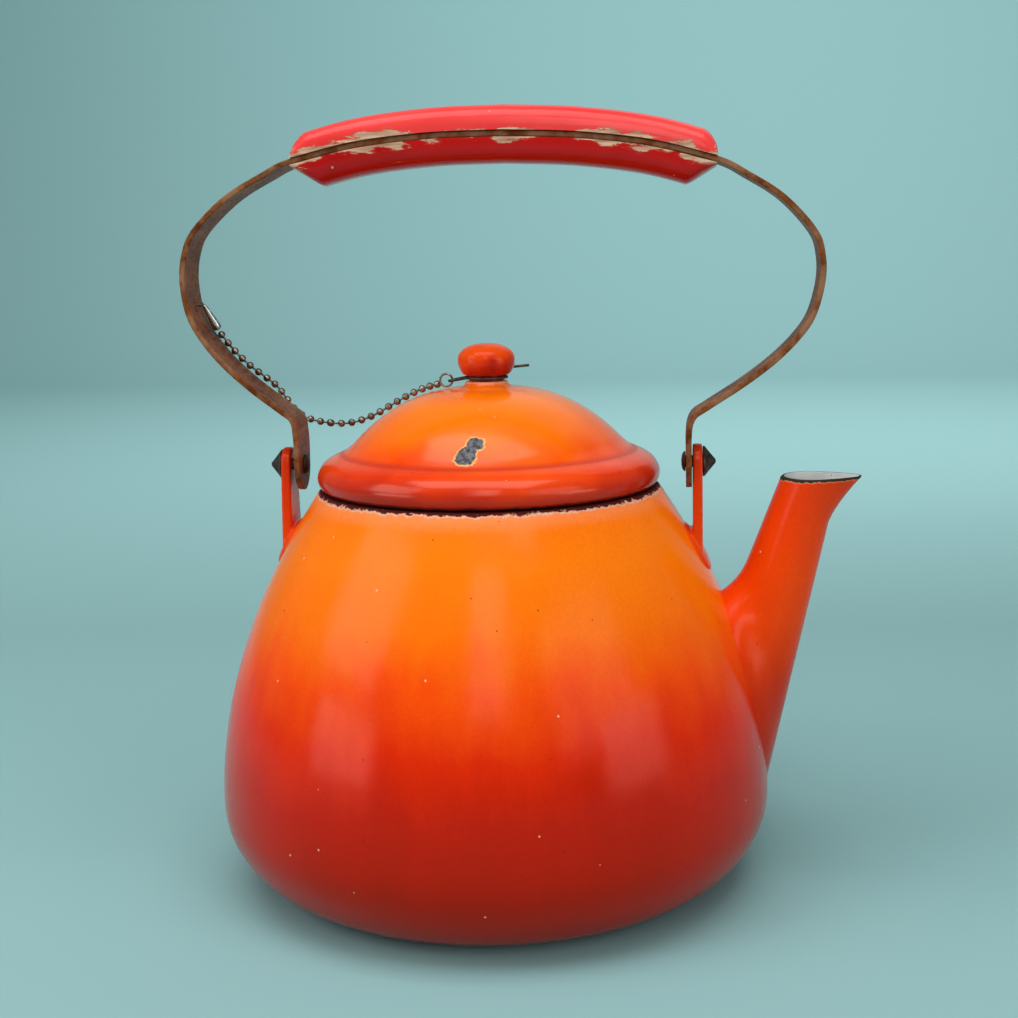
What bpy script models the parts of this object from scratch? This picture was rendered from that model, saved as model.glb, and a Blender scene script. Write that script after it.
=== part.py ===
"""An enamelled stovetop kettle: spout on +X, lift-off lid, bead chain and a bail handle with a wooden grip.

Metres, +Z up. The body's axis is Z and its base stands on z = 0. At rest the lid is on and the bail is
upright.
"""

import math

import bmesh
import bpy
import numpy as np
from mathutils import Matrix, Vector

CLEAR = 0.0003  # gap between touching pieces

# Kettle body, a drawn sheet-steel shell
SHEET = 0.0016  # enamelled wall
BASE_R = 0.0624  # flat of the base
BELLY_R = 0.098  # widest radius
BELLY_Z = 0.032  # height of the widest point
WALL_POWER = 1.95  # how late the wall draws in
NECK_R = 0.0606  # wall radius where the rim roll starts
RIM_Z = 0.141  # top of the rim
RIM_ROLL = 0.0024  # outer radius of the rim roll
MOUTH_R = 0.0535

# Spout, a tapered tube with a beak
SPOUT_SHEET = 0.0014
SPOUT_SINK = 0.0205  # axis inside the belly at the spout's foot
SPOUT_FOOT_Z = 0.030
SPOUT_TOP_Z = 0.1436
SPOUT_FOOT_R = 0.0185
SPOUT_TOP_R = 0.0096
SPOUT_LEAN = 0.0348  # how far the axis moves outwards between foot and mouth
SPOUT_WIDEN = 0.0014  # the mouth's extra half width
BEAK = 0.0078  # overhang of the beak at the mouth
BEAK_START_Z = 0.127
PORT_Z = 0.074  # middle of the hole from the body into the spout
PORT_HALF_WIDTH = 0.0095
PORT_HALF_HEIGHT = 0.017

# Ear lugs, one on each side
REAR_EAR_X = 0.0703  # inner face, from the axis
SPOUT_EAR_X = 0.0717
EAR_T = 0.0034
EAR_TOP_R = 0.0062
EAR_FOOT_HALF = 0.0095  # half width of the lug where it meets the body
EAR_PAD_T = 0.0018
EAR_PAD_HALF = 0.0115
EAR_PAD_INWARD = 0.012  # how far the pad runs inwards from the plate
EAR_PAD_OUTWARD = 0.0010
EAR_PAD_REACH = 0.0085  # how far the pad runs up and down the wall
PIVOT_Z = 0.149

# Ear rivets
RIVET_R = 0.0021
RIVET_HEAD_R = 0.0054
RIVET_COLLAR = 0.0008
RIVET_CONE = 0.0037
RIVET_PEEN_R = 0.0036
RIVET_PEEN = 0.0015

# Bail strap
STRAP_W = 0.018
STRAP_T = 0.002
STRAP_EDGE = 0.0004
LEG_END_R = 0.009
LEG_BLUNT = 0.985  # how nearly a leg's round end comes to a point
BAIL_PLAY = 0.0021  # how much narrower the bail is than the ears, which it takes up on the rear side
LEG_RISE = 0.0125  # straight leg above the pivot
BAIL_REACH = 0.0413  # how far the bail bows out past its legs
BAIL_RISE = 0.1131  # crown of the strap above the pivot
BAIL_LEAN = 0.066  # the bail is bent a little towards the spout
BAIL_TILT = 0.02
# The right half of the strap's middle line: share of the reach past the leg, share of the rise.
BAIL_SHAPE = (
    (0.030, 0.143),
    (0.140, 0.175),
    (0.415, 0.246),
    (0.656, 0.320),
    (0.835, 0.394),
    (0.944, 0.464),
    (0.998, 0.560),
    (0.985, 0.640),
    (0.905, 0.712),
    (0.640, 0.810),
    (0.335, 0.878),
)
CROWN_SHAPE = ((0.0723, 0.0089), (0.050, 0.0036), (0.025, 0.0008), (0.0, 0.0))  # x, drop below the crown

# Grip, two wooden halves on the strap
GRIP_HALF_LENGTH = 0.0725
GRIP_W = 0.0205
GRIP_UPPER_H = 0.0088
GRIP_LOWER_H = 0.0086
GRIP_LOWER_SLANT = 0.0078
GRIP_UPPER_SLANT = 0.0068
GRIP_SWELL = {1: 0.14, -1: -0.11}  # how much lower each half (1 upper, -1 lower) is at its ends
GRIP_ROUND = 0.75  # under 1 makes the section squarer than an ellipse
# The ends: share of the slant, counted from the tip, and share of the half's height there.
GRIP_END = {
    1: ((0.0, 0.15), (0.35, 0.58), (0.75, 0.86), (1.0, 1.0)),
    -1: ((0.0, 0.12), (0.35, 0.44), (0.75, 0.80), (1.0, 1.0)),
}
GRIP_SCREW_X = 0.0495
SCREW_R = 0.0015
SCREW_HEAD_R = 0.0030
SCREW_HEAD = 0.0016
SCREW_SUNK = 0.0008
SCREW_DEPTH = 0.0055  # length below the strap's middle line
SCREW_WAY = 0.02  # how far a screw's hole is cut upwards, past the top of the grip

# Lid
LID_SHEET = 0.0015
LID_R = 0.0603
LID_EDGE_H = 0.0105  # level at which the dome would meet the fold, above the seat
FOLD_R = 0.0520
# The lid from the foot of the dome over the flared brim to its turned-in edge: share of the outer radius,
# height above the seat.
LID_EDGE = (
    (0.829, 0.0136),
    (0.862, 0.0124),
    (0.896, 0.0115),
    (0.929, 0.0106),
    (0.962, 0.0092),
    (0.985, 0.0074),
    (0.999, 0.0053),
    (0.999, 0.0033),
    (0.988, 0.0016),
    (0.973, 0.0006),
    (0.957, 0.0002),
)
DOME_RISE = 0.0245
DOME_POWER = 2.6
LID_NECK_R = 0.0075
LID_NECK_H = 0.0018
COLLAR_T = 0.0012
COLLAR_GAP = 0.0006
COLLAR_DEPTH = 0.0075

# Knob
KNOB_R = 0.010
KNOB_H = 0.0128
KNOB_FOOT_R = 0.0076
GROOVE_R = 0.0062
GROOVE_H = 0.0018
KNOB_SCREW_R = 0.0015
KNOB_SCREW_DEPTH = 0.0062
KNOB_SCREW_HEAD_R = 0.0032
KNOB_SCREW_HEAD = 0.0022
WASHER_R = 0.0046
WASHER_T = 0.0010

# Chain and its fittings
WIRE_R = 0.00048
WIRE_LOOP_R = 0.0071
WIRE_EYE = 0.0062  # how far the eye for the ring stands out of the loop
WIRE_DROOP = 0.0012  # how far the eye hangs
RING_R = 0.0022
RING_WIRE_R = 0.0004
CHAIN_R = 0.00135
HOOK_TIP = (-0.1012, 0.0030, 0.2062)
HOOK_END = (-0.0970, 0.0060, 0.1970)
HOOK_R = 0.0016
HOOK_PIN_R = 0.0007
HOOK_PIN = 0.0034  # length of the pin
HOOK_HOLE = 0.004
# The hook from tip to end: share of its radius, share of its length.
HOOK_SHAPE = ((0.0, 0.0), (0.55, 0.02), (0.6, 0.25), (0.85, 0.6), (1.0, 0.85), (0.8, 0.97), (0.0, 1.0))
# The wire's tail behind the knob: x, y, height above the groove's middle.
WIRE_TAIL = (
    (0.0140, 0.0112, 0.0031),
    (0.0070, 0.0110, 0.0025),
    (0.0, 0.0106, 0.0018),
    (-0.0036, 0.0084, 0.0008),
)
# The chain's route from the hook to the ring. It lies on the strap, hangs behind the leg and lies on
# the lid.
CHAIN_BAIL_ROUTE = (
    (-0.0962, 0.0065, 0.1952),
    (-0.0923, 0.0068, 0.1900),
    (-0.0871, 0.0072, 0.1845),
    (-0.0814, 0.0084, 0.1797),
    (-0.0780, 0.0105, 0.1763),
    (-0.0753, 0.0120, 0.1722),
    (-0.0722, 0.0127, 0.1676),
    (-0.0684, 0.0127, 0.1646),
    (-0.0640, 0.0124, 0.1631),
    (-0.0590, 0.0119, 0.1624),
)
CHAIN_LID_ROUTE = (
    (-0.0587, 0.0119, 0.1623),
    (-0.0545, 0.0119, 0.1621),
    (-0.0500, 0.0118, 0.1626),
    (-0.0462, 0.0116, 0.1637),
    (-0.0420, 0.0111, 0.1654),
    (-0.0370, 0.0104, 0.1682),
    (-0.0315, 0.0093, 0.1713),
    (-0.0260, 0.0072, 0.1740),
    (-0.0215, 0.0047, 0.1757),
    (-0.0178, 0.0020, 0.1768),
)

SEAT_Z = RIM_Z + CLEAR  # underside of the lid's edge
BRIM_Z = SEAT_Z + LID_EDGE_H
NECK_Z = BRIM_Z + DOME_RISE + LID_NECK_H  # top of the lid's neck
KNOB_Z = NECK_Z + CLEAR
# The middle of a leg from the bail's own middle, and the bail's middle from the body's axis.
LEG_X = (REAR_EAR_X + SPOUT_EAR_X - BAIL_PLAY - CLEAR - STRAP_T) / 2
BAIL_X = SPOUT_EAR_X - CLEAR - STRAP_T / 2 - LEG_X
SMOOTH = 48  # segments round a large lathe


def material(name, colour, roughness, metallic=0.0):
    """A Principled material."""
    made = bpy.data.materials.new(name)
    made.use_nodes = True
    shader = made.node_tree.nodes["Principled BSDF"]
    shader.inputs["Base Color"].default_value = (*colour, 1.0)
    shader.inputs["Roughness"].default_value = roughness
    shader.inputs["Metallic"].default_value = metallic
    return made


def add_object(name, bm, finish, parent=None):
    """Closes a bmesh into a named object with its faces outwards, riding on parent where one is given."""
    bmesh.ops.recalc_face_normals(bm, faces=bm.faces)
    mesh = bpy.data.meshes.new(name)
    bm.to_mesh(mesh)
    bm.free()
    obj = bpy.data.objects.new(name, mesh)
    obj.data.materials.append(finish)
    bpy.context.scene.collection.objects.link(obj)
    follow(obj, parent)
    return obj


def follow(obj, parent):
    """Parents an object that was built in place."""
    if parent is None:
        return
    obj.parent = parent
    obj.matrix_parent_inverse = Matrix.Translation(-parent.location)


def joint_empty(name, place):
    """An empty on a joint's axis, for the pieces that move on it."""
    empty = bpy.data.objects.new(name, None)
    empty.location = place
    bpy.context.scene.collection.objects.link(empty)
    return empty


def helper(obj):
    """Marks an object as a cutter or a filler that isn't a piece."""
    obj.hide_render = True
    obj.display_type = "WIRE"
    return obj


def boolean(target, tool, operation="DIFFERENCE"):
    modifier = target.modifiers.new(tool.name, "BOOLEAN")
    modifier.object = tool
    modifier.operation = operation
    modifier.solver = "EXACT"


def bridge(bm, first, second):
    """Joins two rings of vertices. A ring of one vertex is a pole."""
    count = max(len(first), len(second))
    for i in range(count):
        j = (i + 1) % count
        near = [first[i % len(first)], first[j % len(first)]]
        far = [second[j % len(second)], second[i % len(second)]]
        bm.faces.new(list(dict.fromkeys(near + far)))


def skin(rings, wrap=False):
    """A bmesh through rings of points: capped at both ends, or joined last to first with wrap."""
    bm = bmesh.new()
    rows = [[bm.verts.new(point) for point in ring] for ring in rings]
    for first, second in zip(rows, rows[1:]):
        bridge(bm, first, second)
    if wrap:
        bridge(bm, rows[-1], rows[0])
    else:
        for row in (rows[0], rows[-1]):
            if len(row) > 2:
                bm.faces.new(row)
    return bm


def lathe(outline, segments=SMOOTH, closed=False, turn=None):
    """A bmesh turned about Z from (radius, height) points: a loop with closed, else pole to pole."""
    angles = [2 * math.pi * i / segments for i in range(segments)]
    rings = []
    for radius, height in outline:
        if radius < 1e-7:
            rings.append([Vector((0, 0, height))])
        else:
            rings.append([Vector((radius * math.cos(a), radius * math.sin(a), height)) for a in angles])
    bm = skin(rings, wrap=closed)
    if turn is not None:
        bm.transform(turn)
    return bm


def arc(centre, radius, start, end, steps):
    """Points on an arc, with its angles in degrees."""
    angles = np.radians(np.linspace(start, end, steps + 1))
    return [(centre[0] + radius * math.cos(a), centre[1] + radius * math.sin(a)) for a in angles]


def spline(points, steps):
    """A smooth curve through points, with steps pieces between each two."""
    points = np.array(points, float)
    ends = np.vstack([2 * points[0] - points[1], points, 2 * points[-1] - points[-2]])
    found = []
    for a, b, c, d in zip(ends, ends[1:], ends[2:], ends[3:]):
        for t in np.arange(steps) / steps:
            bent = (2 * a - 5 * b + 4 * c - d) * t**2 + (3 * b - a - 3 * c + d) * t**3
            found.append(0.5 * (2 * b + (c - a) * t + bent))
    found.append(points[-1])
    return np.array(found)


def evenly(points, count):
    """The same line with count points, evenly apart."""
    steps = np.linalg.norm(np.diff(points, axis=0), axis=1)
    along = np.concatenate([[0], np.cumsum(steps)])
    wanted = np.linspace(0, along[-1], count)
    return np.stack([np.interp(wanted, along, column) for column in points.T], axis=1)


def inset(outline, distance):
    """The outline moved to the left of its direction. A point on the axis moves straight up or down."""
    points = np.array(outline, float)
    steps = np.diff(points, axis=0)
    normals = np.stack([-steps[:, 1], steps[:, 0]], axis=1)
    normals /= np.linalg.norm(normals, axis=1)[:, None]
    before = np.vstack([normals[:1], normals])
    after = np.vstack([normals, normals[-1:]])
    mean = before + after
    mean /= (mean * before).sum(axis=1)[:, None]
    moved = points + mean * distance
    moved[points[:, 0] < 1e-7, 0] = 0
    return [tuple(point) for point in moved]


def walled(outline, thickness):
    """A sheet of even thickness on the left of an outline, as one closed loop or from pole to pole."""
    return list(outline) + inset(outline, thickness)[::-1]


def cylinder(radius, start, end, segments=24):
    """A bmesh cylinder between two points."""
    start, end = Vector(start), Vector(end)
    length = (end - start).length
    turn = Matrix.Translation(start) @ (end - start).to_track_quat("Z", "Y").to_matrix().to_4x4()
    return lathe([(0, 0), (radius, 0), (radius, length), (0, length)], segments, turn=turn)


def tube(name, route, radius, finish, parent, steps, count):
    """A round wire or cord on a smooth curve through its route's points."""
    curve = bpy.data.curves.new(name, "CURVE")
    curve.dimensions = "3D"
    curve.bevel_depth = radius
    curve.bevel_resolution = 2
    curve.render_resolution_u = 0
    curve.use_fill_caps = True
    points = evenly(spline(route, steps), count)
    line = curve.splines.new("POLY")
    line.points.add(len(points) - 1)
    for place, point in zip(line.points, points):
        place.co = (*point, 1.0)
    curve.materials.append(finish)
    obj = bpy.data.objects.new(name, curve)
    bpy.context.scene.collection.objects.link(obj)
    follow(obj, parent)
    return obj


def neck_angle():
    """How far the wall leans in where it meets the rim roll, in degrees."""
    height = RIM_Z - RIM_ROLL - BELLY_Z
    return math.degrees(math.atan(WALL_POWER * (BELLY_R - NECK_R) / height))


def body_outline():
    """The body's outer side, from the middle of the base to the edge of the mouth."""
    lean = neck_angle()
    centre_r = NECK_R - RIM_ROLL * math.cos(math.radians(lean))
    wall_top = RIM_Z - RIM_ROLL + RIM_ROLL * math.sin(math.radians(lean))
    corner = [
        (BASE_R + (BELLY_R - BASE_R) * math.sin(a), BELLY_Z * (1 - math.cos(a)))
        for a in np.radians(np.linspace(0, 90, 8))
    ]
    wall = [
        (BELLY_R - (BELLY_R - NECK_R) * share**WALL_POWER, BELLY_Z + (wall_top - BELLY_Z) * share)
        for share in np.linspace(0, 1, 9)[1:-1]
    ]
    roll = arc((centre_r, RIM_Z - RIM_ROLL), RIM_ROLL, lean, 90, 3)
    return [(0.0, 0.0)] + corner + wall + roll + [(MOUTH_R, RIM_Z)]


def wall_r(height):
    """The body's outer radius at a height between the belly and the neck."""
    outline = [point for point in body_outline() if BELLY_Z <= point[1] and point[0] > MOUTH_R]
    return float(np.interp(height, [z for _, z in outline], [r for r, _ in outline]))


def wall_z(radius):
    """The height at which the body's wall has drawn in to a radius."""
    outline = [point for point in body_outline() if BELLY_Z <= point[1] and point[0] > MOUTH_R][::-1]
    return float(np.interp(radius, [r for r, _ in outline], [z for _, z in outline]))


def body_envelope(name, gap):
    """A solid that fills the body's outside, grown by a gap."""
    outline = [point for point in inset(body_outline(), -gap) if point[0] > MOUTH_R / 2]
    outline = [(0.0, -gap)] + outline + [(0.0, RIM_Z + gap)]
    return helper(add_object(name, lathe(outline), ENAMEL))


def spout_x(height):
    share = (height - SPOUT_FOOT_Z) / (SPOUT_TOP_Z - SPOUT_FOOT_Z)
    return BELLY_R - SPOUT_SINK + SPOUT_LEAN * share


def spout_ring(height, inwards):
    """One level ring of the spout, moved inwards by a wall."""
    share = (height - SPOUT_FOOT_Z) / (SPOUT_TOP_Z - SPOUT_FOOT_Z)
    radius = SPOUT_FOOT_R + (SPOUT_TOP_R - SPOUT_FOOT_R) * share - inwards
    slant = math.hypot(1, SPOUT_LEAN / (SPOUT_TOP_Z - SPOUT_FOOT_Z))
    lip = max(0.0, (height - BEAK_START_Z) / (SPOUT_TOP_Z - BEAK_START_Z)) ** 1.5
    ring = []
    for angle in np.linspace(0, 2 * math.pi, 40, endpoint=False):
        front = max(0.0, math.cos(angle))
        x = spout_x(height) + radius * slant * math.cos(angle) + BEAK * lip * front**3
        y = (radius + SPOUT_WIDEN * lip) * math.sin(angle)
        ring.append(Vector((x, y, height)))
    return ring


def spout_heights():
    """Levels of the spout's rings, closer together at the beak."""
    low = np.linspace(SPOUT_FOOT_Z, BEAK_START_Z, 4)
    high = np.linspace(BEAK_START_Z, SPOUT_TOP_Z, 6)
    return list(low) + list(high[1:])


def make_body():
    body = add_object("kettle_body", lathe(walled(body_outline(), SHEET)), ENAMEL)
    port = cylinder(1.0, (0, 0, 0), (2 * SPOUT_SINK, 0, 0), 32)
    size = Matrix.Diagonal((1, PORT_HALF_WIDTH, PORT_HALF_HEIGHT, 1))
    port.transform(Matrix.Translation((wall_r(PORT_Z) - SPOUT_SINK, 0, PORT_Z)) @ size)
    boolean(body, helper(add_object("spout_port_cut", port, ENAMEL)))


def make_spout():
    heights = spout_heights()
    outer = [spout_ring(height, 0.0) for height in heights]
    inner = [spout_ring(height, SPOUT_SHEET) for height in heights]
    spout = add_object("spout", skin(outer + inner[::-1], wrap=True), SPOUT_ENAMEL)
    boolean(spout, body_envelope("body_cut_for_spout", CLEAR))


def ear_x(side):
    """The inner face of an ear."""
    return SPOUT_EAR_X if side > 0 else REAR_EAR_X


def leg_x(side):
    """The middle of a leg, from the axis."""
    return LEG_X + side * BAIL_X


def ear_outline(side):
    """The lug seen along X: a round top on the pivot, widening down to below the wall."""
    foot_z = wall_z(ear_x(side) + EAR_T) - EAR_PAD_REACH
    top = arc((0, PIVOT_Z), EAR_TOP_R, 0, 180, 12)
    outline = [(EAR_FOOT_HALF, foot_z)] + top + [(-EAR_FOOT_HALF, foot_z)]
    return [[Vector((side * x, y, z)) for y, z in outline] for x in (ear_x(side), ear_x(side) + EAR_T)]


def make_ear(name, side):
    """A lug: the upright plate and the pad that is welded on the wall."""
    ear = add_object(name, skin(ear_outline(side)), ENAMEL)
    inner = ear_x(side)
    middle_z = wall_z(inner + EAR_T / 2)
    wall = [point for point in body_outline() if point[0] > MOUTH_R and point[1] < RIM_Z - RIM_ROLL]
    shell = [point for point in wall if abs(point[1] - middle_z) < 4 * EAR_PAD_REACH]
    skirt = walled(inset(shell, -EAR_PAD_T - CLEAR), EAR_PAD_T + SHEET)
    pad = add_object(name + "_pad", lathe(skirt, closed=True), ENAMEL)
    block = cylinder(1.0, (inner - EAR_PAD_INWARD, 0, 0), (inner + EAR_T + EAR_PAD_OUTWARD, 0, 0), 32)
    size = Matrix.Diagonal((side, EAR_PAD_HALF, EAR_PAD_REACH, 1))
    block.transform(Matrix.Translation((0, 0, middle_z)) @ size)
    boolean(pad, helper(add_object(name + "_pad_trim", block, ENAMEL)), "INTERSECT")
    boolean(ear, helper(pad), "UNION")
    boolean(ear, body_envelope(name + "_body_cut", CLEAR))
    ends = [(side * x, 0, PIVOT_Z) for x in (inner - EAR_T, inner + 2 * EAR_T)]
    hole = cylinder(RIVET_R + CLEAR, *ends)
    boolean(ear, helper(add_object(name + "_hole", hole, ENAMEL)))


def make_rivet(name, side):
    """A rivet with a pointed outer head, whose shank carries the strap's leg."""
    head = ear_x(side) + EAR_T + CLEAR
    peen = leg_x(side) - STRAP_T / 2 - CLEAR
    outline = [(0.0, head + RIVET_COLLAR + RIVET_CONE), (0.0008, head + RIVET_COLLAR + RIVET_CONE - 0.0003)]
    outline += [(RIVET_HEAD_R, head + RIVET_COLLAR), (RIVET_HEAD_R, head), (RIVET_R, head), (RIVET_R, peen)]
    outline += [(RIVET_PEEN_R, peen), (0.8 * RIVET_PEEN_R, peen - 0.7 * RIVET_PEEN)]
    outline += [(0.0, peen - RIVET_PEEN)]
    turn = Matrix.Translation((0, 0, PIVOT_Z)) @ Matrix.Rotation(side * math.pi / 2, 4, "Y")
    add_object(name, lathe(outline, 24, turn=turn), BLACK_STEEL)


def settle(point):
    """Bends a point of the nominal bail as the bail is bent."""
    x, z = point
    above = max(0.0, z - PIVOT_Z - LEG_RISE)
    grown = min(1.0, above / (0.35 * BAIL_RISE))
    return (x + BAIL_X + BAIL_LEAN * above, z - BAIL_TILT * x * grown)


def bail_half():
    """The nominal middle line from the end of the right leg to the crown."""
    leg = [(LEG_X, PIVOT_Z - LEG_END_R), (LEG_X, PIVOT_Z), (LEG_X, PIVOT_Z + LEG_RISE * 0.8)]
    bow = [(LEG_X + BAIL_REACH * across, PIVOT_Z + BAIL_RISE * up) for across, up in BAIL_SHAPE]
    crown = [(x, PIVOT_Z + BAIL_RISE - drop) for x, drop in CROWN_SHAPE]
    return leg + bow + crown


def bail_line(count):
    """The strap's bent middle line, from the left leg's end to the right leg's end."""
    right = spline(bail_half(), 8)
    left = right[:-1] * (-1, 1)
    whole = np.vstack([left, right[::-1]])
    return evenly(np.array([settle(point) for point in whole]), count)


def upwards(line):
    """Unit normals of a line in XZ, on its left."""
    tangent = np.gradient(line, axis=0)
    tangent /= np.linalg.norm(tangent, axis=1)[:, None]
    return np.stack([-tangent[:, 1], tangent[:, 0]], axis=1)


def strap_section(drop):
    """The strap's cross-section as (y, height) points, drop below the pivot, where a leg's end is round."""
    half = STRAP_W / 2 - LEG_END_R + math.sqrt(max(0.0, LEG_END_R**2 - (LEG_BLUNT * drop) ** 2))
    edge = min(STRAP_EDGE, half / 3)
    top = STRAP_T / 2
    section = [(half - edge, top), (half, top - edge), (half, edge - top), (half - edge, -top)]
    return section + [(-y, n) for y, n in section[::-1]]


def make_strap(bail):
    line = bail_line(81)
    rings = []
    for place, up in zip(line, upwards(line)):
        section = strap_section(max(0.0, PIVOT_Z - place[1]))
        rings.append([Vector((place[0] + up[0] * n, y, place[1] + up[1] * n)) for y, n in section])
    strap = add_object("bail_strap", skin(rings), STRAP_STEEL, bail)
    for side in (-1, 1):
        ends = [(side * (leg_x(side) + reach), 0, PIVOT_Z) for reach in (-2 * STRAP_T, 2 * STRAP_T)]
        hole = cylinder(RIVET_R + CLEAR, *ends)
        boolean(strap, helper(add_object(f"strap_rivet_hole_{side}", hole, STRAP_STEEL)))
        cut_for_screw(strap, side, SCREW_R + CLEAR, f"strap_screw_hole_{side}")
    pin = hook_pin(HOOK_PIN_R + CLEAR, HOOK_HOLE)
    boolean(strap, helper(add_object("strap_hook_hole", pin, STRAP_STEEL)))


def crown_frames(positions):
    """Place and upward direction of the strap's middle line at nominal x positions under the grip."""
    x_of = [x for x, _ in CROWN_SHAPE][::-1]
    drop_of = [drop for _, drop in CROWN_SHAPE][::-1]
    line = spline(list(zip(x_of, drop_of)), 16)

    def settled(x):
        drop = np.interp(abs(x), line[:, 0], line[:, 1])
        return np.array(settle((x, PIVOT_Z + BAIL_RISE - drop)))

    frames = []
    for x in positions:
        ahead = settled(x + 0.0008) - settled(x - 0.0008)
        ahead /= np.linalg.norm(ahead)
        frames.append((settled(x), np.array([-ahead[1], ahead[0]])))
    return frames


def grip_heights(side, height, slant):
    """Positions along one half of the grip, and its height at each."""
    back, shares = np.array(GRIP_END[side]).T
    middle = np.linspace(GRIP_HALF_LENGTH - 1.8 * slant, 0, 9)
    x_right = np.concatenate([GRIP_HALF_LENGTH - slant * back, middle])
    swell = 1 - GRIP_SWELL[side] * (x_right / GRIP_HALF_LENGTH) ** 2
    right = np.concatenate([shares, np.ones(len(middle))]) * height * swell
    return np.concatenate([-x_right, x_right[::-1][1:]]), np.concatenate([right, right[::-1][1:]])


def grip_half(name, side, height, slant, bail):
    """One half of the grip, over the strap with side 1 and under it with side -1."""
    positions, heights = grip_heights(side, height, slant)
    rings = []
    for (place, up), tall in zip(crown_frames(positions), heights):
        ring = []
        for angle in np.radians(np.linspace(0, 180, 15)):
            y = GRIP_W / 2 * math.copysign(abs(math.cos(angle)) ** GRIP_ROUND, math.cos(angle))
            rise = STRAP_T / 2 + CLEAR + tall * math.sin(angle) ** GRIP_ROUND
            ring.append(Vector((place[0] + up[0] * side * rise, y, place[1] + up[1] * side * rise)))
        rings.append(ring)
    half = add_object(name, skin(rings), GRIP_PAINT, bail)
    for end in (-1, 1):
        cut_for_screw(half, end, SCREW_R + CLEAR, f"{name}_screw_hole_{end}")
        if side > 0:
            cut_for_screw_head(half, end, name)


def screw_frame(side):
    """Where a grip screw crosses the strap's middle line, and its upward direction."""
    place, up = crown_frames([side * GRIP_SCREW_X])[0]
    return Vector((place[0], 0, place[1])), Vector((up[0], 0, up[1]))


def screw_top():
    """Height of the upper half's surface at a grip screw, above the strap's middle line."""
    swell = 1 - GRIP_SWELL[1] * (GRIP_SCREW_X / GRIP_HALF_LENGTH) ** 2
    return STRAP_T / 2 + CLEAR + GRIP_UPPER_H * swell


def cut_for_screw(target, side, radius, name):
    place, up = screw_frame(side)
    hole = cylinder(radius, place - up * (SCREW_DEPTH + CLEAR), place + up * SCREW_WAY, 16)
    boolean(target, helper(add_object(name, hole, GRIP_PAINT)))


def cut_for_screw_head(target, side, name):
    place, up = screw_frame(side)
    seat = screw_top() - SCREW_SUNK - SCREW_HEAD - CLEAR
    hole = cylinder(SCREW_HEAD_R + CLEAR, place + up * seat, place + up * SCREW_WAY, 20)
    boolean(target, helper(add_object(f"{name}_head_cut_{side}", hole, GRIP_PAINT)))


def make_grip_screw(name, side, bail):
    """A round-headed screw from the top of the grip through the strap into the lower half."""
    place, up = screw_frame(side)
    under = screw_top() - SCREW_SUNK - SCREW_HEAD
    outline = [(0, -SCREW_DEPTH), (0.6 * SCREW_R, -SCREW_DEPTH), (SCREW_R, 0.001 - SCREW_DEPTH)]
    outline += [(SCREW_R, under), (SCREW_HEAD_R, under)]
    outline += [(0.8 * SCREW_HEAD_R, under + 0.8 * SCREW_HEAD), (0, under + SCREW_HEAD)]
    turn = Matrix.Translation(place) @ up.to_track_quat("Z", "Y").to_matrix().to_4x4()
    add_object(name, lathe(outline, 16, turn=turn), BLACK_STEEL, bail)


def dome_z(radius):
    """The dome's outer height at a radius."""
    return BRIM_Z + DOME_RISE * (1 - (radius / FOLD_R) ** DOME_POWER)


def lid_outline():
    """The lid's outer side, from the knob screw's hole over the dome and brim to the end of its edge."""
    neck_r, foot_r = LID_NECK_R, LID_NECK_R + 0.0016
    points = [(KNOB_SCREW_R + CLEAR, NECK_Z), (neck_r - 0.0005, NECK_Z), (neck_r, NECK_Z - 0.0005)]
    points += [(neck_r + 0.0004, dome_z(neck_r) + 0.0006), (foot_r, dome_z(foot_r) + 0.0002)]
    points += [(r, dome_z(r)) for r in np.linspace(neck_r + 0.006, LID_EDGE[0][0] * LID_R - 0.0025, 7)]
    return points + [(LID_R * share, SEAT_Z + height) for share, height in LID_EDGE]


def lid_under(radius):
    """Height of the lid's underside at a radius inside its turned-in edge."""
    inner = inset(lid_outline()[::-1], LID_SHEET)
    inside = [point for point in inner if point[1] > SEAT_Z + LID_EDGE_H / 2]
    return float(np.interp(radius, [r for r, _ in inside[::-1]], [z for _, z in inside[::-1]]))


def make_lid(lid):
    outline = lid_outline()[::-1]
    add_object("lid_shell", lathe(walled(outline, LID_SHEET), closed=True), LID_ENAMEL, lid)
    outer = MOUTH_R - COLLAR_GAP
    under = lid_under(outer) - CLEAR
    low = RIM_Z - COLLAR_DEPTH
    collar = [(outer, low), (outer, under), (outer - COLLAR_T, under), (outer - COLLAR_T, low)]
    add_object("lid_collar", lathe(collar, closed=True), LID_ENAMEL, lid)


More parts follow.
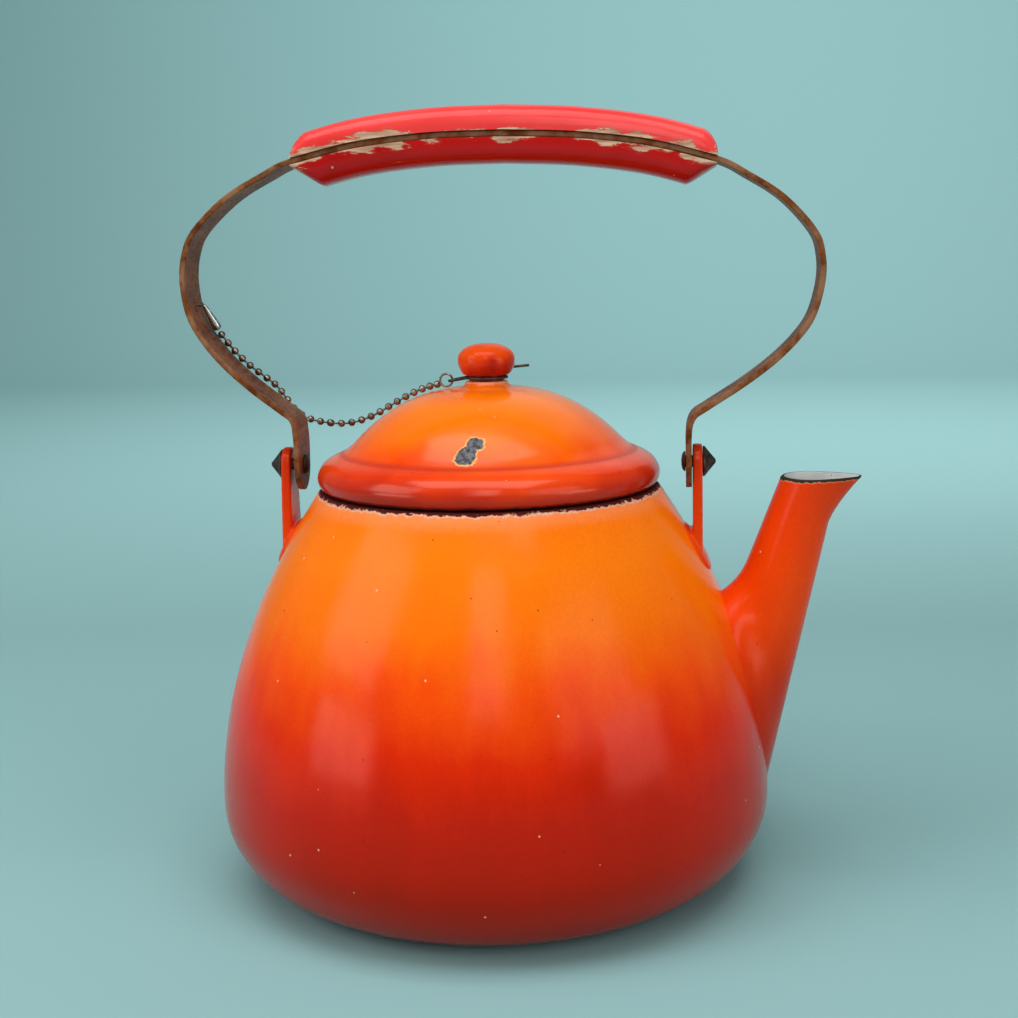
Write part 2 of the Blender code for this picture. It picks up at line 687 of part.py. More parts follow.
def make_knob(lid):
    """The knob on its groove, with the screw and washer that hold it from inside the lid."""
    top = KNOB_Z + KNOB_H
    foot = KNOB_Z + GROOVE_H
    belly = (foot + top) / 2
    hole_r = KNOB_SCREW_R + CLEAR
    hole_z = KNOB_Z + KNOB_SCREW_DEPTH + CLEAR
    angles = np.radians(np.linspace(0, 90, 6))
    crown = [(KNOB_R * math.cos(a), belly + (top - belly) * math.sin(a)) for a in angles]
    outline = [(0.0, hole_z), (hole_r, hole_z), (hole_r, KNOB_Z), (GROOVE_R, KNOB_Z), (GROOVE_R, foot)]
    outline += [(KNOB_FOOT_R, foot), (KNOB_FOOT_R + 0.0010, foot + 0.0014)]
    outline += [(KNOB_R - 0.0004, belly - 0.0020)]
    add_object("lid_knob", lathe(outline + crown[:-1] + [(0.0, top)], 32), KNOB_ENAMEL, lid)

    inside = NECK_Z - LID_SHEET - CLEAR
    low = inside - WASHER_T
    washer = [(hole_r, low), (WASHER_R, low), (WASHER_R, inside), (hole_r, inside)]
    add_object("knob_washer", lathe(washer, 24, closed=True), ZINC, lid)
    seat = low - CLEAR
    tip = KNOB_Z + KNOB_SCREW_DEPTH
    screw = [(0.0, seat - KNOB_SCREW_HEAD), (0.7 * KNOB_SCREW_HEAD_R, seat - KNOB_SCREW_HEAD)]
    screw += [(KNOB_SCREW_HEAD_R, seat - 0.5 * KNOB_SCREW_HEAD), (KNOB_SCREW_HEAD_R, seat)]
    screw += [(KNOB_SCREW_R, seat), (KNOB_SCREW_R, tip - 0.001), (0.6 * KNOB_SCREW_R, tip), (0.0, tip)]
    add_object("knob_screw", lathe(screw, 20), ZINC, lid)


def make_chain_wire(lid):
    """The wire in the knob's groove: a straight tail behind the knob, then most of a turn with an eye."""
    level = KNOB_Z + GROOVE_H / 2
    tail = [(x, y, level + rise) for x, y, rise in WIRE_TAIL]
    turn = []
    for angle in np.radians(np.arange(140, 461, 10)):
        eye = math.exp(-(((angle - math.pi) / 0.25) ** 2))
        radius = WIRE_LOOP_R + WIRE_EYE * eye
        turn.append((radius * math.cos(angle), radius * math.sin(angle), level - WIRE_DROOP * eye))
    tube("chain_wire", tail + turn, WIRE_R, ZINC, lid, 6, 60)


def make_chain_ring(lid):
    """The ring that links the wire's eye to the chain."""
    level = KNOB_Z + GROOVE_H / 2 - WIRE_DROOP
    reach = WIRE_LOOP_R + WIRE_EYE + RING_R - WIRE_R - RING_WIRE_R - CLEAR
    centre = Vector((-reach, 0, level + CLEAR))
    section = arc((RING_R, 0), RING_WIRE_R, 0, 360, 8)[:-1]
    turn = Matrix.Translation(centre) @ Matrix.Rotation(math.pi / 2, 4, "X")
    add_object("chain_ring", lathe(section, 24, closed=True, turn=turn), ZINC, lid)


def hook_pin(radius, reach):
    """A pin through the strap at the hook's tip."""
    tip = Vector(HOOK_TIP)
    return cylinder(radius, tip, tip - Vector((reach, 0, 0)), 12)


def make_hook(bail):
    """The steel end piece of the chain: a pointed spindle on the strap, with a pin through its hole."""
    start, end = Vector(HOOK_TIP), Vector(HOOK_END)
    length = (end - start).length
    turn = Matrix.Translation(start) @ (end - start).to_track_quat("Z", "Y").to_matrix().to_4x4()
    outline = [(HOOK_R * r, length * z) for r, z in HOOK_SHAPE]
    hook = add_object("chain_hook", lathe(outline, 16, turn=turn), ZINC, bail)
    boolean(hook, helper(add_object("hook_pin", hook_pin(HOOK_PIN_R, HOOK_PIN), ZINC)), "UNION")


for old in list(bpy.data.objects):
    bpy.data.objects.remove(old, do_unlink=True)

ENAMEL = material("orange_enamel", (0.80, 0.13, 0.01), 0.16)
SPOUT_ENAMEL = material("red_orange_enamel", (0.72, 0.06, 0.008), 0.18)
LID_ENAMEL = material("lid_enamel", (0.84, 0.13, 0.008), 0.15)
KNOB_ENAMEL = material("knob_enamel", (0.72, 0.05, 0.006), 0.2)
GRIP_PAINT = material("red_paint", (0.55, 0.012, 0.012), 0.25)
STRAP_STEEL = material("rusty_steel", (0.17, 0.075, 0.04), 0.5, 0.8)
BLACK_STEEL = material("dark_steel", (0.05, 0.035, 0.03), 0.5, 0.8)
ZINC = material("plated_steel", (0.45, 0.42, 0.38), 0.35, 1.0)
CHAIN_STEEL = material("bead_chain_steel", (0.16, 0.12, 0.09), 0.35, 0.9)

bail_axis = joint_empty("bail_axis", (0, 0, PIVOT_Z))
lid_axis = joint_empty("lid_axis", (0, 0, RIM_Z))

make_body()
make_spout()
for ear_name, ear_side in (("rear_ear", -1), ("spout_ear", 1)):
    make_ear(ear_name, ear_side)
    make_rivet(ear_name + "_rivet", ear_side)
make_strap(bail_axis)
grip_half("grip_upper", 1, GRIP_UPPER_H, GRIP_UPPER_SLANT, bail_axis)
grip_half("grip_lower", -1, GRIP_LOWER_H, GRIP_LOWER_SLANT, bail_axis)
make_grip_screw("rear_grip_screw", -1, bail_axis)
make_grip_screw("spout_grip_screw", 1, bail_axis)
make_lid(lid_axis)
make_knob(lid_axis)
make_chain_wire(lid_axis)
make_chain_ring(lid_axis)
make_hook(bail_axis)
tube("bead_chain_bail", CHAIN_BAIL_ROUTE, CHAIN_R, CHAIN_STEEL, bail_axis, 12, 20)
tube("bead_chain_lid", CHAIN_LID_ROUTE, CHAIN_R, CHAIN_STEEL, lid_axis, 12, 20)
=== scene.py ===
import math

import bmesh
import bpy
import numpy as np
from mathutils import Matrix, Vector


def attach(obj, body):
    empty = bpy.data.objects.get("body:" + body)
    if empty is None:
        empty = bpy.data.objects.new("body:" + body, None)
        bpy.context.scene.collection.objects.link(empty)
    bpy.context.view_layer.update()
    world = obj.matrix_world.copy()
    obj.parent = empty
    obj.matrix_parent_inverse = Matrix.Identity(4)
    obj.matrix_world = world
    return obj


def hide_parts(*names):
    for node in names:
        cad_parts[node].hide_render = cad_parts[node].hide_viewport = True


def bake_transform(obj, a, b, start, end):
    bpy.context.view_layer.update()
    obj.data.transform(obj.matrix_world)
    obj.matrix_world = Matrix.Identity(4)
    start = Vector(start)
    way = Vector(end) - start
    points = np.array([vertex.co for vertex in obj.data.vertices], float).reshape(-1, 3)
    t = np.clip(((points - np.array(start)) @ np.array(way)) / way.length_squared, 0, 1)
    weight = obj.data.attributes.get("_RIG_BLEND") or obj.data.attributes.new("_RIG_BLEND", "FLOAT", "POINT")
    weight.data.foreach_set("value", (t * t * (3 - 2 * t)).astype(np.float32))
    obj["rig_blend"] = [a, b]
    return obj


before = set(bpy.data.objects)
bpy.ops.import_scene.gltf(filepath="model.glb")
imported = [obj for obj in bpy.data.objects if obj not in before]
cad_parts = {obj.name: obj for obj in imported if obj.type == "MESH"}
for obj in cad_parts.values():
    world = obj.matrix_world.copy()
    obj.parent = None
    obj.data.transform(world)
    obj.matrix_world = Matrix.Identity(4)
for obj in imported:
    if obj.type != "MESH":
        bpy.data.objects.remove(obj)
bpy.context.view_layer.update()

# The studio: a pale paper sweep under and behind the kettle, seen from a little above the lid. A wide softbox
# overhead and windows to the left, in front and to the right give the soft patches on the enamel. Two low
# boxes light the belly, a faint one lights the back, and the last lamp lights the paper wall.
EYE = (0.0654, -0.5575, 0.2272)
LINE_OF_SIGHT = (-0.103, 0.981, -0.167)
CAMERA_ROLL = -0.022
LENS_MM = 56.6
PAPER = (0.27, 0.47, 0.475, 1.0)


def add_camera():
    camera = bpy.data.objects.new("studio_camera", bpy.data.cameras.new("studio_camera"))
    turn = Vector(LINE_OF_SIGHT).to_track_quat("-Z", "Y").to_matrix() @ Matrix.Rotation(CAMERA_ROLL, 3, "Z")
    camera.matrix_world = Matrix.Translation(EYE) @ turn.to_4x4()
    camera.data.lens = LENS_MM
    camera.data.clip_start = 0.01
    bpy.context.scene.collection.objects.link(camera)
    bpy.context.scene.camera = camera


def softbox(name, place, aim, width, height, glow):
    """A rectangular lamp whose face has the brightness glow."""
    lamp = bpy.data.lights.new(name, "AREA")
    lamp.shape = "RECTANGLE"
    lamp.size, lamp.size_y = width, height
    lamp.energy = glow * math.pi * width * height
    holder = bpy.data.objects.new(name, lamp)
    turn = (Vector(aim) - Vector(place)).to_track_quat("-Z", "Y").to_matrix()
    holder.matrix_world = Matrix.Translation(place) @ turn.to_4x4()
    bpy.context.scene.collection.objects.link(holder)


def paper_sweep():
    """Paper on the floor that curves up into the wall behind."""
    side = [(-5.0, 0.0), (2.0, 0.0)]
    side += [(2.0 + 0.9 * math.sin(a), 0.9 - 0.9 * math.cos(a)) for a in np.radians(np.linspace(6, 90, 15))]
    side += [(2.9, 4.0)]
    paper = bmesh.new()
    rows = [[paper.verts.new((x, y, z)) for y, z in side] for x in (-5.0, 5.0)]
    for i in range(len(side) - 1):
        paper.faces.new((rows[0][i], rows[1][i], rows[1][i + 1], rows[0][i + 1])).smooth = True
    mesh = bpy.data.meshes.new("paper_sweep")
    paper.to_mesh(mesh)
    paper.free()
    sheet = bpy.data.objects.new("paper_sweep", mesh)
    finish = bpy.data.materials.new("paper")
    finish.use_nodes = True
    finish.node_tree.nodes["Principled BSDF"].inputs["Base Color"].default_value = PAPER
    finish.node_tree.nodes["Principled BSDF"].inputs["Roughness"].default_value = 0.9
    mesh.materials.append(finish)
    bpy.context.scene.collection.objects.link(sheet)


add_camera()
paper_sweep()
softbox("overhead", (-0.05, -0.33, 1.35), (0, 0, 0.15), 1.4, 0.85, 3.3)
softbox("left_window", (-1.25, -0.6, 0.95), (0, 0, 0.12), 0.9, 0.8, 2.9)
softbox("front_window", (0.10, -1.45, 1.05), (0, 0, 0.12), 0.42, 0.9, 3.6)
softbox("right_window", (1.25, -1.0, 0.75), (0, 0, 0.1), 1.1, 0.9, 1.5)
softbox("low_left", (-1.35, -0.85, 0.24), (0, 0, 0.06), 0.8, 0.4, 3.2)
softbox("low_right", (1.35, -0.65, 0.22), (0, 0, 0.06), 0.7, 0.4, 2.4)
softbox("back_fill", (0.4, 1.2, 1.3), (0, 0, 0.12), 1.2, 0.8, 0.3)
softbox("backdrop_lamp", (0.30, 0.70, 1.45), (0.20, 2.9, 0.95), 0.9, 0.5, 27.0)
studio = bpy.data.worlds.new("studio")
studio.use_nodes = True
studio.node_tree.nodes["Background"].inputs["Color"].default_value = (0.72, 0.80, 0.80, 1.0)
studio.node_tree.nodes["Background"].inputs["Strength"].default_value = 0.3
bpy.context.scene.world = studio
bpy.context.scene.view_settings.view_transform = "Standard"

# The kettle body: one shell drawn from sheet steel, dipped in pale enamel inside and sprayed outside from
# orange at the neck to deep red at the foot. The rim's enamel has chipped to a ragged pale line, and above
# it a dark band is painted shade for the gap under the lid.
SHEET = 0.0016
BASE_R, BELLY_R, BELLY_Z = 0.0624, 0.098, 0.032
WALL_POWER = 1.95
NECK_R, RIM_Z, RIM_ROLL, MOUTH_R = 0.0606, 0.141, 0.0024, 0.0535
PORT_Z, PORT_HALF_WIDTH, PORT_HALF_HEIGHT, PORT_REACH = 0.074, 0.0095, 0.017, 0.025
FINE = 192  # segments round a large lathed piece


def add_node(tree, kind, links=None, **settings):
    """Adds a shader node. links sets its inputs, by name or number, to a value or another node's output."""
    made = tree.nodes.new("ShaderNode" + kind)
    for key, value in settings.items():
        setattr(made, key, value)
    for key, value in (links or {}).items():
        if isinstance(value, bpy.types.NodeSocket):
            tree.links.new(value, made.inputs[key])
        else:
            made.inputs[key].default_value = value
    return made


def place_on(tree, stretch=(1.0, 1.0, 1.0), shift=(0.0, 0.0, 0.0)):
    """Object coordinates, shifted and then stretched."""
    where = add_node(tree, "TexCoord").outputs["Object"]
    moved = add_node(tree, "VectorMath", {0: where, 1: shift}, operation="SUBTRACT").outputs[0]
    return add_node(tree, "VectorMath", {0: moved, 1: stretch}, operation="MULTIPLY").outputs[0]


def cloud(tree, scale, detail=2.0, where=None, rough=0.5):
    """Noise from about 0.25 to 0.75. scale is lumps per metre."""
    where = where or place_on(tree)
    links = {"Vector": where, "Scale": scale, "Detail": detail, "Roughness": rough}
    return add_node(tree, "TexNoise", links).outputs[0]


def sums(tree, operation, first, second=0.0):
    return add_node(tree, "Math", {0: first, 1: second}, operation=operation).outputs[0]


def ramp(tree, value, low, high, start=0.0, end=1.0):
    """value taken from the range low to high into start to end, and held at the ends."""
    links = {"Value": value, "From Min": low, "From Max": high, "To Min": start, "To Max": end}
    return add_node(tree, "MapRange", links).outputs[0]


def mixed(tree, share, first, second, blend="MIX"):
    """Two colours mixed."""
    links = {0: share, 6: first, 7: second}
    return add_node(tree, "Mix", links, data_type="RGBA", blend_type=blend).outputs[2]


def shades(tree, value, stops):
    """A colour that changes along value through (position, colour) stops."""
    made = add_node(tree, "ValToRGB", {0: value})
    stripes = made.color_ramp.elements
    while len(stripes) < len(stops):
        stripes.new(0.5)
    for stripe, (position, colour) in zip(stripes, stops):
        stripe.position = position
        stripe.color = (*colour, 1.0)
    return made.outputs[0]


def specks(tree, per_metre, share, size, seed=(0.0, 0.0, 0.0)):
    """1 in small round specks of a size in metres. share is how many of the cells hold one."""
    where = place_on(tree, shift=seed)
    cells = add_node(tree, "TexVoronoi", {"Vector": where, "Scale": per_metre, "Randomness": 1.0})
    near = ramp(tree, cells.outputs["Distance"], size * per_metre * 0.8, size * per_metre, 1.0, 0.0)
    lot = add_node(tree, "SeparateColor", {0: cells.outputs["Color"]}).outputs[0]
    drawn = sums(tree, "LESS_THAN", lot, share)
    return sums(tree, "MULTIPLY", near, drawn)


def finish_material(name):
    """A new material with its tree and its Principled shader."""
    made = bpy.data.materials.new(name)
    made.use_nodes = True
    return made, made.node_tree, made.node_tree.nodes["Principled BSDF"]


def join(tree, output, shader, name):
    tree.links.new(output, shader.inputs[name])


def bump(tree, shader, heights, strength=1.0):
    """Raises the surface by heights, which are in metres."""
    normal = add_node(tree, "Bump", {"Height": heights, "Strength": strength, "Distance": 1.0}).outputs[0]
    join(tree, normal, shader, "Normal")


def height_of(tree):
    return add_node(tree, "SeparateXYZ", {0: place_on(tree)}).outputs[2]


def sprayed_enamel(name, stops, low, high, wear_and_shade=None, streak=1.0, rough=0.18, shine=0.2):
    """Gloss enamel whose colour runs from low to high, with small faults. The last argument gives (mask,
    colour) pairs, for wear and for painted shade.
    """
    made, tree, shader = finish_material(name)
    drift = ramp(tree, cloud(tree, 22.0, 3.0), 0.3, 0.7, -0.005, 0.005)
    tall = cloud(tree, 1.0, 3.0, place_on(tree, (90.0, 90.0, 9.0)))
    runs = ramp(tree, tall, 0.3, 0.7, -0.004 * streak, 0.004 * streak)
    level = sums(tree, "ADD", height_of(tree), sums(tree, "ADD", drift, runs))
    colour = shades(tree, ramp(tree, level, low, high), stops)
    stipple = ramp(tree, cloud(tree, 900.0, 2.0), 0.42, 0.62, 0.97, 1.02)
    grey = add_node(tree, "CombineColor", {0: stipple, 1: stipple, 2: stipple}).outputs[0]
    colour = mixed(tree, 1.0, colour, grey, "MULTIPLY")
    dark = specks(tree, 240.0, 0.16, 0.00028, (0.31, 0.7, 0.2))
    colour = mixed(tree, dark, colour, (0.10, 0.006, 0.003, 1.0))
    pale = specks(tree, 170.0, 0.16, 0.00042)
    colour = mixed(tree, pale, colour, (0.83, 0.45, 0.30, 1.0))
    gloss = ramp(tree, cloud(tree, 60.0, 4.0), 0.3, 0.7, rough * 0.8, rough * 1.3)
    pits = sums(tree, "MULTIPLY", sums(tree, "ADD", pale, dark), -0.00008)
    peel = sums(tree, "MULTIPLY", cloud(tree, 130.0, 2.0), 0.00016)
    fine = sums(tree, "MULTIPLY", cloud(tree, 700.0, 2.0), 0.000008)
    heights = sums(tree, "ADD", sums(tree, "ADD", peel, fine), pits)
    for mask, marking in wear_and_shade(tree) if wear_and_shade else ():
        colour = mixed(tree, mask, colour, marking)
        gloss = sums(tree, "ADD", gloss, sums(tree, "MULTIPLY", mask, 0.25))
        heights = sums(tree, "SUBTRACT", heights, sums(tree, "MULTIPLY", mask, 0.00012))
    join(tree, colour, shader, "Base Color")
    join(tree, gloss, shader, "Roughness")
    bump(tree, shader, heights, 0.6)
    shader.inputs["IOR"].default_value = 1.5
    shader.inputs["Specular IOR Level"].default_value = shine
    shader.inputs["Specular Tint"].default_value = (1.0, 0.75, 0.62, 1.0)
    return made


def rim_chips_and_gap_shade(tree):
    """The chipped edge just under the lid: a ragged pale line, and above it a dark band of painted shade for
    the gap under the lid.
    """
    ragged = ramp(tree, cloud(tree, 420.0, 4.0, rough=0.7), 0.3, 0.7, -0.0007, 0.0007)
    level = sums(tree, "ADD", height_of(tree), ragged)
    blush = ramp(tree, level, RIM_Z - 0.0060, RIM_Z - 0.0013, 0.0, 0.5)
    cream = ramp(tree, level, RIM_Z - 0.0014, RIM_Z - 0.0011)
    # painted shade: this dark band stands for the shade in the gap under the lid
    dark_band = ramp(tree, level, RIM_Z - 0.0009, RIM_Z - 0.0006)
    return (
        (blush, (0.95, 0.30, 0.12, 1.0)),
        (cream, (0.78, 0.42, 0.28, 1.0)),
        (dark_band, (0.080, 0.005, 0.004, 1.0)),
    )


def pale_enamel():
    """The inside: pale grey enamel with fine dark specks and a faint lime bloom."""
    made, tree, shader = finish_material("pale_inside_enamel")
    bloom = ramp(tree, cloud(tree, 40.0, 4.0), 0.35, 0.7)
    colour = mixed(tree, bloom, (0.42, 0.43, 0.43, 1.0), (0.60, 0.60, 0.57, 1.0))
    colour = mixed(tree, specks(tree, 420.0, 0.5, 0.0003), colour, (0.05, 0.05, 0.055, 1.0))
    join(tree, colour, shader, "Base Color")
    join(tree, ramp(tree, bloom, 0.0, 1.0, 0.18, 0.4), shader, "Roughness")
    bump(tree, shader, sums(tree, "MULTIPLY", cloud(tree, 150.0, 2.0), 0.0001), 0.5)
    return made


def arc(centre, radius, start, end, steps):
    """Points on an arc, with its angles in degrees."""
    angles = np.radians(np.linspace(start, end, steps + 1))
    return [(centre[0] + radius * math.cos(a), centre[1] + radius * math.sin(a)) for a in angles]


def inset(outline, distance):
    """The outline moved to the left of its direction."""
    points = np.array(outline, float)
    steps = np.diff(points, axis=0)
    normals = np.stack([-steps[:, 1], steps[:, 0]], axis=1)
    normals /= np.linalg.norm(normals, axis=1)[:, None]
    before = np.vstack([normals[:1], normals])
    after = np.vstack([normals, normals[-1:]])
    mean = before + after
    mean /= (mean * before).sum(axis=1)[:, None]
    moved = points + mean * distance
    moved[points[:, 0] < 1e-7, 0] = 0
    return [tuple(point) for point in moved]


def skin(rings, wrap=False):
    """A bmesh through rings of points, capped at its ends or wrapped. A ring of one point is a pole."""
    shell = bmesh.new()
    rows = [[shell.verts.new(point) for point in ring] for ring in rings]
    for first, second in list(zip(rows, rows[1:])) + ([(rows[-1], rows[0])] if wrap else []):
        count = max(len(first), len(second))
        for i in range(count):
            j = (i + 1) % count
            corners = [first[i % len(first)], first[j % len(first)]]
            corners += [second[j % len(second)], second[i % len(second)]]
            shell.faces.new(list(dict.fromkeys(corners)))
    if not wrap:
        for row in (rows[0], rows[-1]):
            if len(row) > 2:
                shell.faces.new(row)
    return shell


def lathe(outline, segments=FINE, wrap=False, turn=None):
    """A bmesh turned about Z from (radius, height) points."""
    angles = [2 * math.pi * i / segments for i in range(segments)]
    rings = []
    for radius, height in outline:
        if radius < 1e-7:
            rings.append([Vector((0, 0, height))])
        else:
            rings.append([Vector((radius * math.cos(a), radius * math.sin(a), height)) for a in angles])
    shell = skin(rings, wrap)
    if turn is not None:
        shell.transform(turn)
    return shell


def add_piece(name, shell, *finishes):
    """Closes a bmesh into a smooth-shaded object with its faces outwards."""
    bmesh.ops.recalc_face_normals(shell, faces=shell.faces)
    mesh = bpy.data.meshes.new(name)
    shell.to_mesh(mesh)
    shell.free()
    piece = bpy.data.objects.new(name, mesh)
    for finish in finishes:
        mesh.materials.append(finish)
    bpy.context.scene.collection.objects.link(piece)
    mesh.shade_smooth()
    return piece


def settled(piece, *modifiers):
    """Adds modifiers, given as (kind, settings), and turns the result into the piece's own mesh."""
    for kind, settings in modifiers:
        made = piece.modifiers.new(kind.lower(), kind)
        for key, value in settings.items():
            setattr(made, key, value)
    bpy.context.view_layer.update()
    graph = bpy.context.evaluated_depsgraph_get()
    result = piece.evaluated_get(graph)
    mesh = bpy.data.meshes.new_from_object(result, preserve_all_data_layers=True, depsgraph=graph)
    mesh.name = piece.name
    piece.modifiers.clear()
    piece.data = mesh
    return piece


def cut(piece, tool, operation="DIFFERENCE"):
    """Cuts a piece with a tool object, which is then thrown away."""
    settled(piece, ("BOOLEAN", {"object": tool, "operation": operation, "solver": "EXACT"}))
    bpy.data.objects.remove(tool, do_unlink=True)
    return piece


def crease(piece, degrees):
    """Keeps the edges that are sharper than an angle crisp."""
    mesh = piece.data
    shell = bmesh.new()
    shell.from_mesh(mesh)
    for edge in shell.edges:
        if len(edge.link_faces) == 2 and edge.calc_face_angle() > math.radians(degrees):
            edge.smooth = False
    shell.to_mesh(mesh)
    shell.free()
    return piece


def line_inside(piece, rings, segments=FINE):
    """Gives the faces after the first rings the piece's second finish."""
    for face in piece.data.polygons[rings * segments :]:
        face.material_index = 1


def body_outline():
    """The body's outer side from the middle of the base to the edge of the mouth."""
    lean = math.degrees(math.atan(WALL_POWER * (BELLY_R - NECK_R) / (RIM_Z - RIM_ROLL - BELLY_Z)))
    centre_r = NECK_R - RIM_ROLL * math.cos(math.radians(lean))
    wall_top = RIM_Z - RIM_ROLL + RIM_ROLL * math.sin(math.radians(lean))
    corner = [
        (BASE_R + (BELLY_R - BASE_R) * math.sin(a), BELLY_Z * (1 - math.cos(a)))
        for a in np.radians(np.linspace(0, 90, 22))
    ]
    wall = [
        (BELLY_R - (BELLY_R - NECK_R) * share**WALL_POWER, BELLY_Z + (wall_top - BELLY_Z) * share)
        for share in np.linspace(0, 1, 42)[1:-1]
    ]
    roll = arc((centre_r, RIM_Z - RIM_ROLL), RIM_ROLL, lean, 90, 7)
    return [(0.0, 0.0)] + corner + wall + roll + [(MOUTH_R, RIM_Z)]


def wall_r(height):
    """The body's outer radius at a height above the belly."""
    outline = [point for point in body_outline() if point[1] >= BELLY_Z and point[0] > MOUTH_R]
    return np.interp(height, [z for _, z in outline], [r for r, _ in outline])


def body_filler(shrink):
    """A solid that fills the body, to cut away what runs into it. It is thrown away afterwards."""
    outline = [point for point in inset(body_outline(), shrink) if point[0] > MOUTH_R / 2]
    return add_piece("body_filler", lathe([(0.0, shrink)] + outline + [(0.0, RIM_Z - shrink)], 96))


def rod(radius, start, end, segments=24):
    """A bmesh cylinder between two points."""
    start, end = Vector(start), Vector(end)
    turn = Matrix.Translation(start) @ (end - start).to_track_quat("Z", "Y").to_matrix().to_4x4()
    length = (end - start).length
    return lathe([(0, 0), (radius, 0), (radius, length), (0, length)], segments, turn=turn)


body_enamel = sprayed_enamel(
    "orange_to_red_enamel",
    (
        (0.0, (0.38, 0.011, 0.001)),
        (0.18, (0.43, 0.011, 0.001)),
        (0.36, (0.54, 0.011, 0.001)),
        (0.50, (0.76, 0.022, 0.001)),
        (0.62, (0.94, 0.070, 0.001)),
        (0.74, (0.98, 0.155, 0.001)),
        (0.88, (0.98, 0.190, 0.002)),
        (1.0, (0.97, 0.170, 0.002)),
    ),
    0.0,
    RIM_Z,
    rim_chips_and_gap_shade,
)
inside_enamel = pale_enamel()
outside = body_outline()
body = add_piece("enamelled_body", lathe(outside + inset(outside, SHEET)[::-1]), body_enamel, inside_enamel)
line_inside(body, len(outside))
port = rod(1.0, (0, 0, 0), (2 * PORT_REACH, 0, 0), 48)
port_size = Matrix.Diagonal((1, PORT_HALF_WIDTH, PORT_HALF_HEIGHT, 1))
port.transform(Matrix.Translation((wall_r(PORT_Z) - PORT_REACH, 0, PORT_Z)) @ port_size)
cut(body, add_piece("port_tool", port, inside_enamel))
crease(body, 50)
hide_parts("kettle_body")
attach(body, "kettle")

# The spout: a tapered tube of sheet steel welded over the port, its mouth pressed out into a beak. The enamel
# fills the corner round its foot, and has chipped off the edge of the mouth.
SPOUT_SHEET, SPOUT_SINK = 0.0014, 0.0205
SPOUT_FOOT_Z, SPOUT_TOP_Z = 0.030, 0.1436
SPOUT_FOOT_R, SPOUT_TOP_R = 0.0185, 0.0096
SPOUT_LEAN, SPOUT_WIDEN = 0.0348, 0.0014
BEAK, BEAK_START_Z = 0.0078, 0.127
FILLET, FILLET_REACH = 0.0075, 0.0066


def spout_ring(height, inwards, fillet=0.0):
    """One level ring of the spout, moved inwards by a wall and outwards where it meets the body."""
    share = (height - SPOUT_FOOT_Z) / (SPOUT_TOP_Z - SPOUT_FOOT_Z)
    middle = BELLY_R - SPOUT_SINK + SPOUT_LEAN * share
    slant = math.hypot(1, SPOUT_LEAN / (SPOUT_TOP_Z - SPOUT_FOOT_Z))
    lip = max(0.0, (height - BEAK_START_Z) / (SPOUT_TOP_Z - BEAK_START_Z)) ** 1.5
    radius = SPOUT_FOOT_R + (SPOUT_TOP_R - SPOUT_FOOT_R) * share - inwards
    ring = []
    for angle in np.linspace(0, 2 * math.pi, 96, endpoint=False):
        front = max(0.0, math.cos(angle))
        x = middle + radius * slant * math.cos(angle) + BEAK * lip * front**3
        y = (radius + SPOUT_WIDEN * lip) * math.sin(angle)
        off = max(0.0, math.hypot(x, y) - wall_r(height))
        grow = fillet * math.exp(-((off / FILLET_REACH) ** 2)) * 0.5 * (1 - math.cos(angle))
        ring.append(Vector((x + grow * math.cos(angle), y + grow * math.sin(angle), height)))
    return ring


def chipped_mouth(tree):
    """Bare dark metal along the mouth's edge, with a ragged amber line under it."""
    ragged = ramp(tree, cloud(tree, 500.0, 4.0, rough=0.7), 0.3, 0.7, -0.0005, 0.0005)
    level = sums(tree, "ADD", height_of(tree), ragged)
    amber = ramp(tree, level, SPOUT_TOP_Z - 0.0012, SPOUT_TOP_Z - 0.0010)
    dark_band = ramp(tree, level, SPOUT_TOP_Z - 0.0010, SPOUT_TOP_Z - 0.0008)
    return ((amber, (0.62, 0.30, 0.14, 1.0)), (dark_band, (0.035, 0.018, 0.014, 1.0)))


spout_enamel = sprayed_enamel(
    "spout_enamel",
    (
        (0.0, (0.40, 0.014, 0.001)),
        (0.35, (0.62, 0.026, 0.001)),
        (0.60, (0.88, 0.060, 0.001)),
        (0.75, (0.92, 0.062, 0.001)),
        (1.0, (0.80, 0.045, 0.003)),
    ),
    0.03,
    SPOUT_TOP_Z,
    chipped_mouth,
)
levels = list(np.linspace(SPOUT_FOOT_Z, BEAK_START_Z, 60))
levels += list(np.linspace(BEAK_START_Z, SPOUT_TOP_Z - 0.0005, 14)[1:])
outer = [spout_ring(level, 0.0, FILLET) for level in levels]
lip_rings = [spout_ring(SPOUT_TOP_Z, SPOUT_SHEET * share) for share in (0.25, 0.5, 0.75)]
inner = [spout_ring(level, SPOUT_SHEET) for level in levels[::3]]
tube = skin(outer + lip_rings + inner[::-1], wrap=True)
spout = add_piece("beaked_spout", tube, spout_enamel, inside_enamel)
line_inside(spout, len(outer + lip_rings) - 1, 96)
cut(spout, body_filler(0.0004))
crease(spout, 50)
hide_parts("spout")
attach(spout, "kettle")

# The ear lugs: upright plates with round tops, welded to the shoulders and enamelled over with the body, so
# that every edge is soft and the enamel pools in the corner at the foot.
REAR_EAR_X, SPOUT_EAR_X = 0.0703, 0.0717
EAR_T, EAR_TOP_R, EAR_FOOT_HALF, EAR_FOOT_Z = 0.0034, 0.0062, 0.0095, 0.112
EAR_PAD_T, EAR_PAD_HALF, EAR_PAD_REACH = 0.0018, 0.0115, 0.0085
PIVOT_Z = 0.149
ENAMEL_SKIN = 0.00045  # size of the grain that the lug is melted together with


